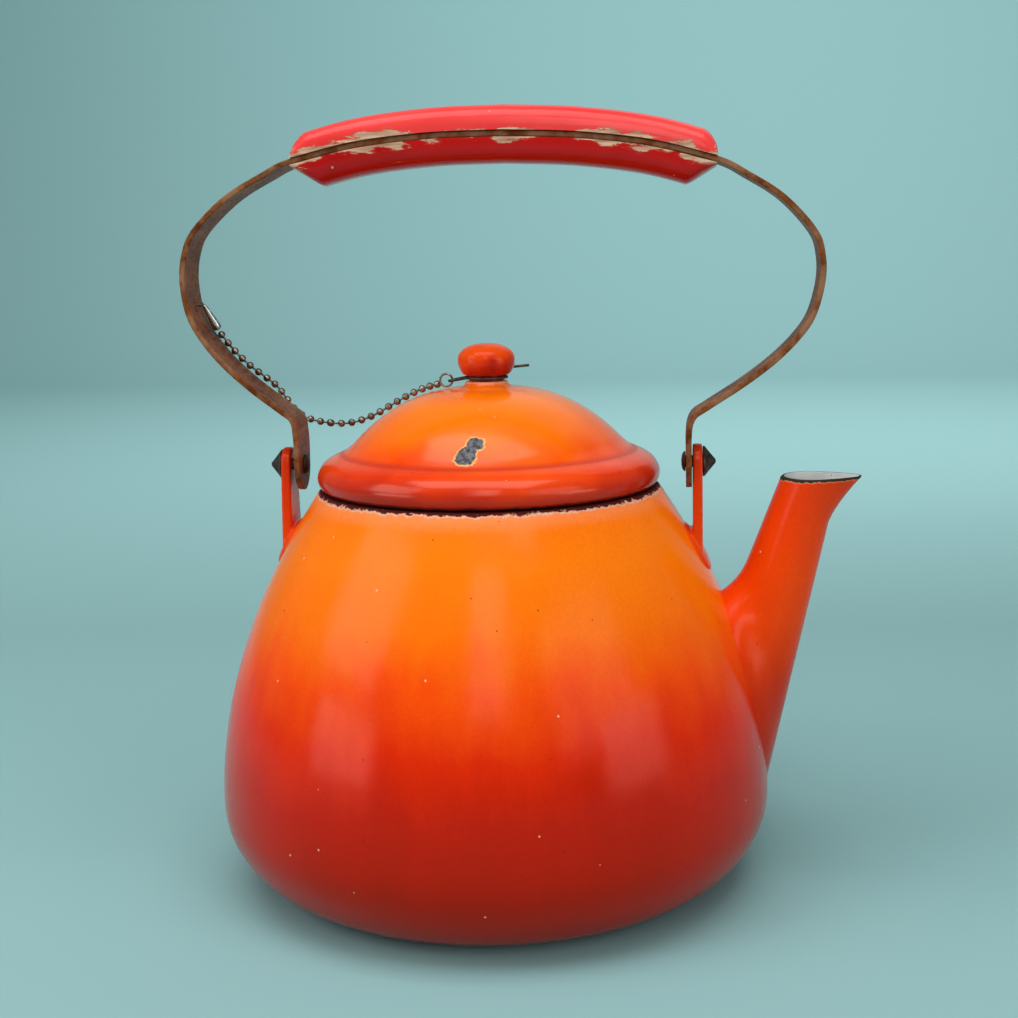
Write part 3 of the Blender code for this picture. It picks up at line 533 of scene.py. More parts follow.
def ear_pad(side, inner_x):
    """The pool of enamel round a lug's foot: a lens that follows the wall."""
    heights = np.linspace(0.06, 0.138, 200)
    middle_z = float(np.interp(-(inner_x + EAR_T / 2), [-wall_r(z) for z in heights], heights))
    rings = [[], []]
    shares = np.linspace(0.0, 1.0, 12)
    for share in shares:
        for row, depth in zip(rings, (EAR_PAD_T * math.sqrt(max(0.0, 1 - share**2)) + 0.0001, -0.0007)):
            ring = []
            for angle in np.linspace(0, 2 * math.pi, 48, endpoint=False):
                y = EAR_PAD_HALF * share * math.cos(angle)
                z = middle_z + EAR_PAD_REACH * share * math.sin(angle)
                r = wall_r(z) + depth
                ring.append(Vector((side * math.sqrt(r * r - y * y), y, z)))
            row.append(ring[:1] if share == 0 else ring)
    return skin(rings[0] + rings[1][::-1])


def add_ear(name, side, node):
    inner_x = REAR_EAR_X if side < 0 else SPOUT_EAR_X
    top = arc((0.0, PIVOT_Z), EAR_TOP_R, 0, 180, 32)
    outline = [(EAR_FOOT_HALF, EAR_FOOT_Z)] + top + [(-EAR_FOOT_HALF, EAR_FOOT_Z)]
    faces = [[Vector((side * x, y, z)) for y, z in outline] for x in (inner_x, inner_x + EAR_T)]
    plate = add_piece(name, skin(faces), body_enamel)
    cut(plate, body_filler(0.0008))
    pad = add_piece(name + "_pad", ear_pad(side, inner_x), body_enamel)
    lump = bmesh.new()
    lump.from_mesh(plate.data)
    lump.from_mesh(pad.data)
    bpy.data.objects.remove(pad, do_unlink=True)
    lump.to_mesh(plate.data)
    lump.free()
    settled(
        plate,
        ("REMESH", {"mode": "VOXEL", "voxel_size": ENAMEL_SKIN, "use_smooth_shade": True}),
        ("SMOOTH", {"factor": 0.5, "iterations": 7}),
    )
    plate.data.materials.clear()
    plate.data.materials.append(lug_enamel)
    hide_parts(node)
    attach(plate, "kettle")


lug_enamel = sprayed_enamel(
    "lug_enamel",
    ((0.0, (0.80, 0.060, 0.002)), (0.5, (0.72, 0.040, 0.002)), (1.0, (0.62, 0.030, 0.004))),
    0.120,
    PIVOT_Z + EAR_TOP_R,
)
add_ear("rear_lug", -1, "rear_ear")
add_ear("spout_side_lug", 1, "spout_ear")

# The ear rivets: dark steel, with a pointed outer head, a shank that carries the bail's leg, and a peened
# end. The shanks differ in length, so each has its own form, which Geometry Nodes put in its place.
RIVET_R, RIVET_HEAD_R, RIVET_COLLAR, RIVET_CONE = 0.0021, 0.0054, 0.0008, 0.0037
RIVET_PEEN_R, RIVET_PEEN = 0.0036, 0.0015
GAP = 0.0003
STRAP_T = 0.002
BAIL_PLAY = 0.0021
LEG_X = (REAR_EAR_X + SPOUT_EAR_X - BAIL_PLAY - GAP - STRAP_T) / 2
BAIL_X = SPOUT_EAR_X - GAP - STRAP_T / 2 - LEG_X


def dull_steel(name, dark, light, rough, metallic=0.85, grain=400.0):
    """Old steel, mottled from dark to light."""
    made, tree, shader = finish_material(name)
    mottle = ramp(tree, cloud(tree, grain, 4.0, rough=0.65), 0.35, 0.68)
    join(tree, mixed(tree, mottle, (*dark, 1.0), (*light, 1.0)), shader, "Base Color")
    join(tree, ramp(tree, mottle, 0.0, 1.0, rough * 1.25, rough * 0.75), shader, "Roughness")
    shader.inputs["Metallic"].default_value = metallic
    bump(tree, shader, sums(tree, "MULTIPLY", mottle, 0.00008), 0.7)
    return made


def copies(name, original, places, finish):
    """Copies of a small piece by Geometry Nodes, as one plain mesh. places are matrices without scale."""
    points = bpy.data.meshes.new(name)
    points.from_pydata([place.to_translation() for place in places], [], [])
    turns = points.attributes.new("turn", "FLOAT_VECTOR", "POINT")
    for item, place in zip(turns.data, places):
        item.vector = place.to_euler()
    holder = bpy.data.objects.new(name, points)
    bpy.context.scene.collection.objects.link(holder)
    tree = bpy.data.node_groups.new(name, "GeometryNodeTree")
    tree.interface.new_socket("Places", in_out="INPUT", socket_type="NodeSocketGeometry")
    original_socket = tree.interface.new_socket("Original", in_out="INPUT", socket_type="NodeSocketObject")
    finish_socket = tree.interface.new_socket("Finish", in_out="INPUT", socket_type="NodeSocketMaterial")
    tree.interface.new_socket("Copies", in_out="OUTPUT", socket_type="NodeSocketGeometry")
    start, end = tree.nodes.new("NodeGroupInput"), tree.nodes.new("NodeGroupOutput")
    source = tree.nodes.new("GeometryNodeObjectInfo")
    turn = tree.nodes.new("GeometryNodeInputNamedAttribute")
    turn.data_type = "FLOAT_VECTOR"
    turn.inputs["Name"].default_value = "turn"
    rotate = tree.nodes.new("FunctionNodeEulerToRotation")
    stand = tree.nodes.new("GeometryNodeInstanceOnPoints")
    realise = tree.nodes.new("GeometryNodeRealizeInstances")
    paint = tree.nodes.new("GeometryNodeSetMaterial")
    for a, b in (
        (start.outputs["Places"], stand.inputs["Points"]),
        (start.outputs["Original"], source.inputs["Object"]),
        (source.outputs["Geometry"], stand.inputs["Instance"]),
        (turn.outputs["Attribute"], rotate.inputs["Euler"]),
        (rotate.outputs["Rotation"], stand.inputs["Rotation"]),
        (stand.outputs["Instances"], realise.inputs["Geometry"]),
        (realise.outputs["Geometry"], paint.inputs["Geometry"]),
        (start.outputs["Finish"], paint.inputs["Material"]),
        (paint.outputs["Geometry"], end.inputs[0]),
    ):
        tree.links.new(a, b)
    setting = holder.modifiers.new("set_out", "NODES")
    setting.node_group = tree
    setting[original_socket.identifier] = original
    setting[finish_socket.identifier] = finish
    settled(holder)
    bpy.data.objects.remove(original, do_unlink=True)
    return holder


dark_steel = dull_steel("dark_rivet_steel", (0.030, 0.018, 0.013), (0.13, 0.09, 0.07), 0.5)
for side, node in ((-1, "rear_ear_rivet"), (1, "spout_ear_rivet")):
    head = (REAR_EAR_X if side < 0 else SPOUT_EAR_X) + EAR_T + GAP / 2
    peen = LEG_X + side * BAIL_X - STRAP_T / 2 - GAP / 2
    tip = head + RIVET_COLLAR + RIVET_CONE
    outline = [(0.0, tip), (0.0007, tip - 0.0001), (0.0016, tip - 0.0009), (0.0038, tip - 0.0027)]
    outline += [(RIVET_HEAD_R - 0.0003, head + RIVET_COLLAR), (RIVET_HEAD_R, head + 0.5 * RIVET_COLLAR)]
    outline += [(RIVET_HEAD_R - 0.0002, head), (RIVET_R, head), (RIVET_R, peen)]
    outline += [(RIVET_PEEN_R - 0.0002, peen), (RIVET_PEEN_R, peen - 0.0003)]
    outline += [(0.8 * RIVET_PEEN_R, peen - 0.7 * RIVET_PEEN), (0.4 * RIVET_PEEN_R, peen - 0.95 * RIVET_PEEN)]
    outline += [(0.0, peen - RIVET_PEEN)]
    original = add_piece(node + "_form", lathe(outline, 48))
    place = Matrix.Translation((0, 0, PIVOT_Z)) @ Matrix.Rotation(side * math.pi / 2, 4, "Y")
    rivet = crease(copies(node + "_steel", original, [place], dark_steel), 40)
    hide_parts(node)
    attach(rivet, "kettle")

# The bail: one strip of steel, bent cold into a bow, rusted to a copper brown. Its edges are lighter, partly
# rubbed and partly a painted highlight.
# It has taken a set towards the spout.
STRAP_W, STRAP_EDGE = 0.018, 0.0005
LEG_END_R, LEG_RISE = 0.009, 0.0125
LEG_BLUNT = 0.985  # 1 rounds the end of a leg to a point on its middle line, and less leaves it a little flat
RUB_AND_SHEEN_W = 0.0011  # how far the lighter band, rubbing and painted highlight, reaches in from an edge of the strap
BAIL_REACH, BAIL_RISE, BAIL_LEAN, BAIL_TILT = 0.0413, 0.1131, 0.066, 0.02
BAIL_SHAPE = (
    (0.030, 0.143),
    (0.140, 0.175),
    (0.415, 0.246),
    (0.656, 0.320),
    (0.835, 0.394),
    (0.944, 0.464),
    (0.998, 0.560),
    (0.985, 0.640),
    (0.905, 0.712),
    (0.640, 0.810),
    (0.335, 0.878),
)
CROWN_SHAPE = ((0.0723, 0.0089), (0.050, 0.0036), (0.025, 0.0008), (0.0, 0.0))


def spline(points, steps):
    """A smooth curve through points, with steps pieces between each two."""
    points = np.array(points, float)
    ends = np.vstack([2 * points[0] - points[1], points, 2 * points[-1] - points[-2]])
    found = []
    for a, b, c, d in zip(ends, ends[1:], ends[2:], ends[3:]):
        for t in np.arange(steps) / steps:
            bend = (2 * a - 5 * b + 4 * c - d) * t**2 + (3 * b - a - 3 * c + d) * t**3
            found.append(0.5 * (2 * b + (c - a) * t + bend))
    found.append(points[-1])
    return np.array(found)


def evenly(points, count):
    """The same line with count points, evenly apart."""
    along = np.concatenate([[0], np.cumsum(np.linalg.norm(np.diff(points, axis=0), axis=1))])
    wanted = np.linspace(0, along[-1], count)
    return np.stack([np.interp(wanted, along, column) for column in points.T], axis=1)


def settle(x, z):
    """Bends a point of the straight-sided bail as the real one is bent."""
    above = max(0.0, z - PIVOT_Z - LEG_RISE)
    grown = min(1.0, above / (0.35 * BAIL_RISE))
    return (x + BAIL_X + BAIL_LEAN * above, z - BAIL_TILT * x * grown)


def bail_line(count):
    """The strap's middle line, from the rear leg's end to the spout side leg's end."""
    half = [(LEG_X, PIVOT_Z - LEG_END_R), (LEG_X, PIVOT_Z), (LEG_X, PIVOT_Z + LEG_RISE * 0.8)]
    half += [(LEG_X + BAIL_REACH * across, PIVOT_Z + BAIL_RISE * up) for across, up in BAIL_SHAPE]
    half += [(x, PIVOT_Z + BAIL_RISE - drop) for x, drop in CROWN_SHAPE]
    right = spline(half, 12)
    whole = np.vstack([right[:-1] * (-1, 1), right[::-1]])
    return evenly(np.array([settle(*point) for point in whole]), count)


def paint_points(piece, name, values):
    """Stores a number for each point of a piece, for its material."""
    layer = piece.data.attributes.new(name, "FLOAT", "POINT")
    layer.data.foreach_set("value", np.asarray(values, np.float32))


def stored(tree, name):
    return add_node(tree, "Attribute", attribute_name=name).outputs["Fac"]


def rusty_strap():
    """Copper-brown rust over steel, blotched dark, and lighter along the edges, partly from rubbing and
    partly as a painted highlight.
    """
    made, tree, shader = finish_material("rusty_strap")
    where = place_on(tree, (1.0, 0.55, 1.0))
    blotch = ramp(tree, cloud(tree, 110.0, 5.0, where, 0.62), 0.36, 0.66)
    colour = mixed(tree, blotch, (0.11, 0.024, 0.004, 1.0), (0.26, 0.085, 0.026, 1.0))
    dots = ramp(tree, cloud(tree, 900.0, 3.0, rough=0.6), 0.53, 0.62)
    colour = mixed(tree, sums(tree, "MULTIPLY", dots, 0.6), colour, (0.055, 0.018, 0.008, 1.0))
    patchy = ramp(tree, cloud(tree, 160.0, 3.0), 0.42, 0.62, 0.0, 0.7)
    # painted highlight: the lighter band along the strap's edges is partly rubbed steel and partly a painted
    # highlight
    rubbed_and_sheen = sums(tree, "MULTIPLY", stored(tree, "edge"), patchy)
    colour = mixed(tree, rubbed_and_sheen, colour, (0.34, 0.17, 0.09, 1.0))
    join(tree, colour, shader, "Base Color")
    rusted = sums(tree, "ADD", dots, sums(tree, "MULTIPLY", rubbed_and_sheen, -0.8))
    join(tree, ramp(tree, rusted, -0.8, 1.0, 0.30, 0.62), shader, "Roughness")
    shader.inputs["Specular IOR Level"].default_value = 0.15
    shader.inputs["Specular Tint"].default_value = (1.0, 0.7, 0.45, 1.0)
    pits = sums(tree, "MULTIPLY", dots, -0.00008)
    bump(tree, shader, sums(tree, "ADD", pits, sums(tree, "MULTIPLY", blotch, 0.0001)), 0.8)
    return made


def add_strap():
    line = bail_line(420)
    ahead = np.gradient(line, axis=0)
    ahead /= np.linalg.norm(ahead, axis=1)[:, None]
    up = np.stack([-ahead[:, 1], ahead[:, 0]], axis=1)
    rings, edges = [], []
    for i, (place, normal) in enumerate(zip(line, up)):
        drop = max(0.0, PIVOT_Z - place[1])
        half = STRAP_W / 2 - LEG_END_R + math.sqrt(max(0.0, LEG_END_R**2 - (LEG_BLUNT * drop) ** 2))
        half += 0.00012 * math.sin(i * 0.21) * math.sin(i * 0.037) - 0.00012
        edge = min(STRAP_EDGE, half / 3)
        side = arc((half - edge, STRAP_T / 2 - edge), edge, 90, 0, 4)
        flat = [((half - edge) * share, STRAP_T / 2) for share in (0.0, 0.5, 0.8)]
        quarter = flat + side
        section = quarter + [(y, -n) for y, n in quarter[::-1]]
        section += [(-y, -n) for y, n in quarter[1:]] + [(-y, n) for y, n in quarter[::-1][:-1]]
        rings.append([Vector((place[0] + normal[0] * n, y, place[1] + normal[1] * n)) for y, n in section])
        edges += [max(0.0, (abs(y) - half + RUB_AND_SHEEN_W) / RUB_AND_SHEEN_W) for y, n in section]
    strap = add_piece("steel_bail", skin(rings), rusty_strap())
    paint_points(strap, "edge", edges)
    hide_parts("bail_strap")
    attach(strap, "bail")


add_strap()

# The grip: two rounded halves of hardwood, painted red, clamped on the crown of the bail by two screws. The
# paint has chipped to bare, pale wood along both joint lines and at the ends.
GRIP_HALF_LENGTH, GRIP_W = 0.0725, 0.0205
GRIP_UPPER_H, GRIP_LOWER_H = 0.0088, 0.0086
GRIP_LOWER_SLANT, GRIP_UPPER_SLANT = 0.0078, 0.0068
GRIP_SWELL = {1: 0.14, -1: -0.11}
GRIP_SQUARE = 0.72  # 1 makes the section an ellipse, and less makes it squarer
GRIP_SCREW_X = 0.0495
SCREW_R, SCREW_HEAD_R, SCREW_HEAD, SCREW_SUNK, SCREW_DEPTH = 0.0015, 0.0030, 0.0016, 0.0008, 0.0055
SCREW_WAY = 0.02  # how far the screw's seat is cut upwards, past the top of the grip


def crown_frame(x):
    """Place and upward direction of the strap's middle line under the grip."""
    drops = spline(CROWN_SHAPE[::-1], 16)

    def on_line(at):
        return np.array(settle(at, PIVOT_Z + BAIL_RISE - np.interp(abs(at), drops[:, 0], drops[:, 1])))

    ahead = on_line(x + 0.0008) - on_line(x - 0.0008)
    ahead /= np.linalg.norm(ahead)
    return on_line(x), np.array([-ahead[1], ahead[0]])


def painted_wood(name, bright, deep):
    """Gloss red paint over wood, chipped where the stored value seam is high."""
    made, tree, shader = finish_material(name)
    wave = ramp(tree, cloud(tree, 55.0, 3.0, place_on(tree, (0.5, 1.0, 1.0))), 0.3, 0.7)
    colour = mixed(tree, wave, (*deep, 1.0), (*bright, 1.0))
    ragged = cloud(tree, 260.0, 5.0, place_on(tree, (0.32, 1.0, 1.3)), 0.72)
    seam = stored(tree, "seam")
    patches = cloud(tree, 38.0, 2.0, place_on(tree, (1.0, 0.4, 0.4), (0.3, 0.0, 0.0)))
    patchy = ramp(tree, patches, 0.38, 0.62, -0.16, 0.09)
    marking = sums(tree, "ADD", sums(tree, "MULTIPLY", seam, 0.34), sums(tree, "ADD", ragged, patchy))
    lost = ramp(tree, marking, 0.75, 0.77)
    rim = ramp(tree, marking, 0.70, 0.75)
    dust = specks(tree, 260.0, 0.10, 0.0005, (0.2, 0.1, 0.4))
    grain = ramp(tree, cloud(tree, 900.0, 3.0, place_on(tree, (0.08, 1.0, 1.0))), 0.35, 0.65)
    wood = mixed(tree, grain, (0.36, 0.17, 0.10, 1.0), (0.74, 0.46, 0.30, 1.0))
    colour = mixed(tree, sums(tree, "MULTIPLY", rim, 0.5), colour, (0.60, 0.10, 0.06, 1.0))
    colour = mixed(tree, sums(tree, "MAXIMUM", lost, dust), colour, wood)
    join(tree, colour, shader, "Base Color")
    join(tree, ramp(tree, lost, 0.0, 1.0, 0.2, 0.62), shader, "Roughness")
    grainy = sums(tree, "MULTIPLY", cloud(tree, 260.0, 3.0, place_on(tree, (0.15, 1.0, 1.0))), 0.00012)
    bump(tree, shader, sums(tree, "ADD", grainy, sums(tree, "MULTIPLY", lost, -0.00016)), 0.7)
    shader.inputs["Specular IOR Level"].default_value = 0.35
    shader.inputs["Specular Tint"].default_value = (1.0, 0.7, 0.7, 1.0)
    return made


def screw_top():
    return STRAP_T / 2 + GAP + GRIP_UPPER_H * (1 - GRIP_SWELL[1] * (GRIP_SCREW_X / GRIP_HALF_LENGTH) ** 2)


def add_grip(name, side, height, slant, finish, node):
    ends = GRIP_HALF_LENGTH - slant * np.array([0.0, 0.04, 0.12, 0.25, 0.4, 0.55, 0.7, 0.85, 1.0])
    if side > 0:
        shares = np.array([0.10, 0.22, 0.38, 0.55, 0.70, 0.81, 0.90, 0.96, 1.0])
    else:
        shares = np.array([0.10, 0.15, 0.23, 0.36, 0.50, 0.64, 0.78, 0.91, 1.0])
    inner = np.linspace(GRIP_HALF_LENGTH - slant - 0.0012, 0, 46)
    x_right = np.concatenate([ends, inner])
    swell = 1 - GRIP_SWELL[side] * (x_right / GRIP_HALF_LENGTH) ** 2
    h_right = np.concatenate([shares, np.ones(len(inner))]) * height * swell
    rings, seams = [], []
    along = np.concatenate([-x_right, x_right[::-1][1:]])
    for x, tall in zip(along, np.concatenate([h_right, h_right[::-1][1:]])):
        place, up = crown_frame(x)
        ring = []
        for angle in np.radians(np.linspace(0, 180, 41)):
            y = GRIP_W / 2 * math.copysign(abs(math.cos(angle)) ** GRIP_SQUARE, math.cos(angle))
            rise = STRAP_T / 2 + GAP / 2 + tall * math.sin(angle) ** GRIP_SQUARE
            ring.append(Vector((place[0] + up[0] * side * rise, y, place[1] + up[1] * side * rise)))
            low = 1 - min(1.0, (rise - STRAP_T / 2) / 0.0042)
            end = max(0.0, 1 - (GRIP_HALF_LENGTH - abs(x)) / 0.006)
            seams.append(max(low, 0.9 * end) if abs(math.cos(angle)) > 0.02 else 0.3 * end)
        rings.append(ring)
    half = add_piece(name, skin(rings), finish)
    paint_points(half, "seam", seams)
    if side > 0:
        for end in (-1, 1):
            place, up = crown_frame(end * GRIP_SCREW_X)
            place, up = Vector((place[0], 0, place[1])), Vector((up[0], 0, up[1]))
            seat = screw_top() - SCREW_SUNK - SCREW_HEAD - GAP
            bore = rod(SCREW_HEAD_R + GAP, place + up * seat, place + up * SCREW_WAY, 40)
            cut(half, add_piece("screw_seat_tool", bore, finish))
    crease(half, 55)
    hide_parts(node)
    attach(half, "bail")


upper_paint = painted_wood("red_paint_upper", (0.90, 0.060, 0.055), (0.78, 0.030, 0.028))
# painted shade: the lower half has the same red paint, made darker for the shade under the grip
shaded_lower_paint = painted_wood("red_paint_lower", (0.56, 0.008, 0.005), (0.44, 0.003, 0.003))
add_grip("upper_grip_half", 1, GRIP_UPPER_H, GRIP_UPPER_SLANT, upper_paint, "grip_upper")
add_grip("lower_grip_half", -1, GRIP_LOWER_H, GRIP_LOWER_SLANT, shaded_lower_paint, "grip_lower")
outline = [(0, -SCREW_DEPTH), (0.6 * SCREW_R, -SCREW_DEPTH), (SCREW_R, -SCREW_DEPTH + 0.001)]
under = screw_top() - SCREW_SUNK - SCREW_HEAD
outline += [(SCREW_R, under), (SCREW_HEAD_R, under), (SCREW_HEAD_R, under + 0.3 * SCREW_HEAD)]
outline += [(0.8 * SCREW_HEAD_R, under + 0.8 * SCREW_HEAD), (0.4 * SCREW_HEAD_R, under + 0.97 * SCREW_HEAD)]
outline += [(0, under + SCREW_HEAD)]
screw_form = add_piece("grip_screw_form", lathe(outline, 40))
slot_tool = rod(0.0004, (-0.004, 0, under + 0.98 * SCREW_HEAD), (0.004, 0, under + 0.98 * SCREW_HEAD), 4)
cut(screw_form, add_piece("slot_tool", slot_tool))
screw_places = []
for end in (-1, 1):
    place, up = crown_frame(end * GRIP_SCREW_X)
    turn = Vector((up[0], 0, up[1])).to_track_quat("Z", "Y").to_matrix().to_4x4()
    screw_places.append(Matrix.Translation((place[0], 0, place[1])) @ turn)
grip_screws = crease(copies("grip_screws_steel", screw_form, screw_places, dark_steel), 40)
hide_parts("rear_grip_screw", "spout_grip_screw")
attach(grip_screws, "bail")

# The lid: a domed pressing with a narrow brim and a rolled-down edge, enamelled from red at the edge to
# orange on top, with painted shade along the fold and under the rolled edge. A chip shaped like a peanut on
# the front of the dome shows the slate-grey ground coat.
LID_SHEET, LID_R, LID_EDGE_H = 0.0015, 0.0603, 0.0105
FOLD_R, DOME_RISE, DOME_POWER = 0.0520, 0.0245, 2.6
LID_NECK_R, LID_NECK_H = 0.0075, 0.0018
SEAT_Z = RIM_Z + GAP
BRIM_Z = SEAT_Z + LID_EDGE_H
NECK_Z = BRIM_Z + DOME_RISE + LID_NECK_H
KNOB_SCREW_R = 0.0015
LID_EDGE = (
    (0.829, 0.0136),
    (0.862, 0.0124),
    (0.896, 0.0115),
    (0.929, 0.0106),
    (0.962, 0.0092),
    (0.985, 0.0074),
    (0.999, 0.0053),
    (0.999, 0.0033),
    (0.988, 0.0016),
    (0.973, 0.0006),
    (0.957, 0.0002),
)


def dome_z(radius):
    return BRIM_Z + DOME_RISE * (1 - (radius / FOLD_R) ** DOME_POWER)


def lid_outline():
    """The lid's outer side, from the hole for the knob's screw to the end of its rolled edge."""
    foot_r = LID_NECK_R + 0.0012
    neck = [(LID_NECK_R, NECK_Z - 0.0005), (LID_NECK_R + 0.0002, NECK_Z - 0.0012)]
    neck += [(foot_r, dome_z(foot_r) + 0.0003)]
    dome = [(r, dome_z(r)) for r in np.linspace(LID_NECK_R + 0.003, LID_EDGE[0][0] * LID_R - 0.0025, 34)]
    edge = spline(dome[-2:] + [(share * LID_R, SEAT_Z + height) for share, height in LID_EDGE], 4)[5:]
    top = [(KNOB_SCREW_R + GAP, NECK_Z), (LID_NECK_R - 0.0006, NECK_Z)]
    top += [(LID_NECK_R - 0.0002, NECK_Z - 0.0002)]
    return top + neck + dome + [tuple(point) for point in edge]


def chip_mask(tree, places, ragged, grow=0.0):
    """1 inside a group of round chips, given as (place, radius), with ragged edges."""
    found = None
    for place, radius in places:
        offset = place_on(tree, shift=place)
        away = add_node(tree, "VectorMath", {0: offset}, operation="LENGTH").outputs["Value"]
        near = sums(tree, "SUBTRACT", radius + grow, sums(tree, "ADD", away, ragged))
        found = near if found is None else sums(tree, "MAXIMUM", found, near)
    return ramp(tree, found, 0.0, 0.00012)


def lid_wear_and_shade(tree):
    ragged = ramp(tree, cloud(tree, 330.0, 4.0, rough=0.7), 0.3, 0.7, -0.0008, 0.0008)
    mottle = ramp(tree, cloud(tree, 700.0, 4.0), 0.4, 0.6)
    slate = mixed(tree, mottle, (0.028, 0.032, 0.042, 1.0), (0.15, 0.16, 0.18, 1.0))
    halo = chip_mask(tree, LID_CHIP, ragged, 0.0007)
    chip = chip_mask(tree, LID_CHIP, ragged)
    edge = sums(tree, "ADD", height_of(tree), ramp(tree, cloud(tree, 300.0, 3.0), 0.3, 0.7, -0.0005, 0.0005))
    # painted shade: the dark band on the underside of the rolled edge stands for the shade in the gap over
    # the body's rim
    dark_band = ramp(tree, edge, SEAT_Z + 0.0013, SEAT_Z + 0.0006)
    neck = ramp(tree, edge, NECK_Z - 0.0010, NECK_Z - 0.0003, 0.0, 0.7)
    # painted shade: a narrow darker band along the fold between the dome and the brim
    above = ramp(tree, height_of(tree), SEAT_Z + 0.0118, SEAT_Z + 0.0124)
    below = ramp(tree, height_of(tree), SEAT_Z + 0.0138, SEAT_Z + 0.0127, 0.0, 0.6)
    fold_shade = sums(tree, "MULTIPLY", above, below)
    dark = (0.10, 0.010, 0.010, 1.0)
    return (
        (halo, (0.80, 0.38, 0.12, 1.0)),
        (chip, slate),
        (fold_shade, (0.45, 0.016, 0.002, 1.0)),
        (dark_band, dark),
        (neck, (0.90, 0.36, 0.20, 1.0)),
    )


LID_CHIP = (
    ((-0.0019, -0.0471, 0.1574), 0.0034),
    ((-0.0005, -0.0451, 0.1594), 0.0022),
    ((0.0010, -0.0433, 0.1611), 0.0028),
)
lid_enamel = sprayed_enamel(
    "lid_enamel",
    (
        (0.0, (0.42, 0.012, 0.002)),
        (0.18, (0.60, 0.022, 0.002)),
        (0.30, (0.80, 0.045, 0.002)),
        (0.42, (0.90, 0.080, 0.002)),
        (0.62, (0.95, 0.155, 0.002)),
        (0.85, (0.97, 0.200, 0.002)),
        (1.0, (0.86, 0.130, 0.002)),
    ),
    SEAT_Z,
    NECK_Z,
    lid_wear_and_shade,
    streak=0.2,
    shine=0.42,
)
outside = lid_outline()[::-1]
under = [point for i, point in enumerate(inset(outside, LID_SHEET)[::-1]) if i % 3 == 0 or i < 2]
lid = add_piece("domed_lid", lathe(outside + under, wrap=True), lid_enamel, inside_enamel)
line_inside(lid, len(outside) - 1)
crease(lid, 55)
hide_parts("lid_shell")
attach(lid, "lid")
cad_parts["lid_collar"].data.materials.clear()
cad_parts["lid_collar"].data.materials.append(inside_enamel)

# The knob: a pressed and enamelled steel bead on a foot. A screw and washer inside the lid hold it on.
KNOB_R, KNOB_H, KNOB_FOOT_R = 0.010, 0.0128, 0.0076
GROOVE_R, GROOVE_H = 0.0062, 0.0018
KNOB_FULL = 0.85  # 1 makes the crown half an ellipse, and less makes it fuller
KNOB_Z = NECK_Z + GAP
knob_top, knob_foot = KNOB_Z + KNOB_H, KNOB_Z + GROOVE_H
knob_belly = (knob_foot + knob_top) / 2
crown = [
    (KNOB_R * math.cos(a) ** KNOB_FULL, knob_belly + (knob_top - knob_belly) * math.sin(a))
    for a in np.radians(np.linspace(0, 90, 24))
]
outline = [(0.0, KNOB_Z + 0.0005), (KNOB_SCREW_R, KNOB_Z + 0.0005), (KNOB_SCREW_R, KNOB_Z)]
outline += [(GROOVE_R, KNOB_Z), (GROOVE_R, knob_foot)]
swell = [(KNOB_FOOT_R, knob_foot), (KNOB_FOOT_R + 0.0009, knob_foot + 0.0006)]
swell += [(KNOB_R - 0.0008, knob_foot + 0.0017), (KNOB_R - 0.0001, knob_foot + 0.0036), crown[0]]
outline += [tuple(point) for point in spline(swell, 6)[:-1]]
# painted shade: the enamel runs darkest at the groove and foot, for the shade under the bead
knob_enamel = sprayed_enamel(
    "knob_enamel",
    (
        (0.0, (0.20, 0.008, 0.006)),
        (0.35, (0.50, 0.018, 0.004)),
        (0.6, (0.76, 0.050, 0.003)),
        (1.0, (0.82, 0.075, 0.002)),
    ),
    KNOB_Z,
    knob_top,
    rough=0.17,
)
knob = add_piece("enamelled_knob", lathe(outline + crown[:-1] + [(0.0, knob_top)], 96), knob_enamel)
crease(knob, 60)
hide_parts("lid_knob")
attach(knob, "lid")
plated_steel = dull_steel("plated_steel", (0.12, 0.09, 0.07), (0.40, 0.35, 0.30), 0.32, 1.0, 600.0)
for node in ("knob_screw", "knob_washer"):
    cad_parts[node].data.materials.clear()
    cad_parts[node].data.materials.append(plated_steel)

# The chain's wire and ring: steel wire wound once round the knob's groove, with its tail left sticking out
# behind, and a small ring at its eye.
WIRE_R, WIRE_LOOP_R, WIRE_EYE, WIRE_DROOP = 0.00048, 0.0071, 0.0062, 0.0012
WIRE_TAIL = (
    (0.0140, 0.0112, 0.0031),
    (0.0070, 0.0110, 0.0025),
    (0.0, 0.0106, 0.0018),
    (-0.0036, 0.0084, 0.0008),
)
RING_R, RING_WIRE_R = 0.0022, 0.0004


def wire(name, route, radius, finish, closed=False, segments=12):
    """A round wire along a line of points."""
    route = np.array(route, float)
    ahead = np.gradient(route, axis=0)
    if closed:
        ahead = np.roll(route, -1, axis=0) - np.roll(route, 1, axis=0)
    upright = abs(Vector(ahead[0]).normalized().z) > 0.9
    across = Vector((0.0, 1.0, 0.0)) if upright else Vector((0.0, 0.0, 1.0))
    rings = []
    for place, way in zip(route, ahead):
        way = Vector(way).normalized()
        across = (across - way * across.dot(way)).normalized()
        other = way.cross(across)
        turns = np.linspace(0, 2 * math.pi, segments, endpoint=False)
        sides = [across * math.cos(a) + other * math.sin(a) for a in turns]
        rings.append([Vector(place) + side * radius for side in sides])
    return add_piece(name, skin(rings, wrap=closed), finish)


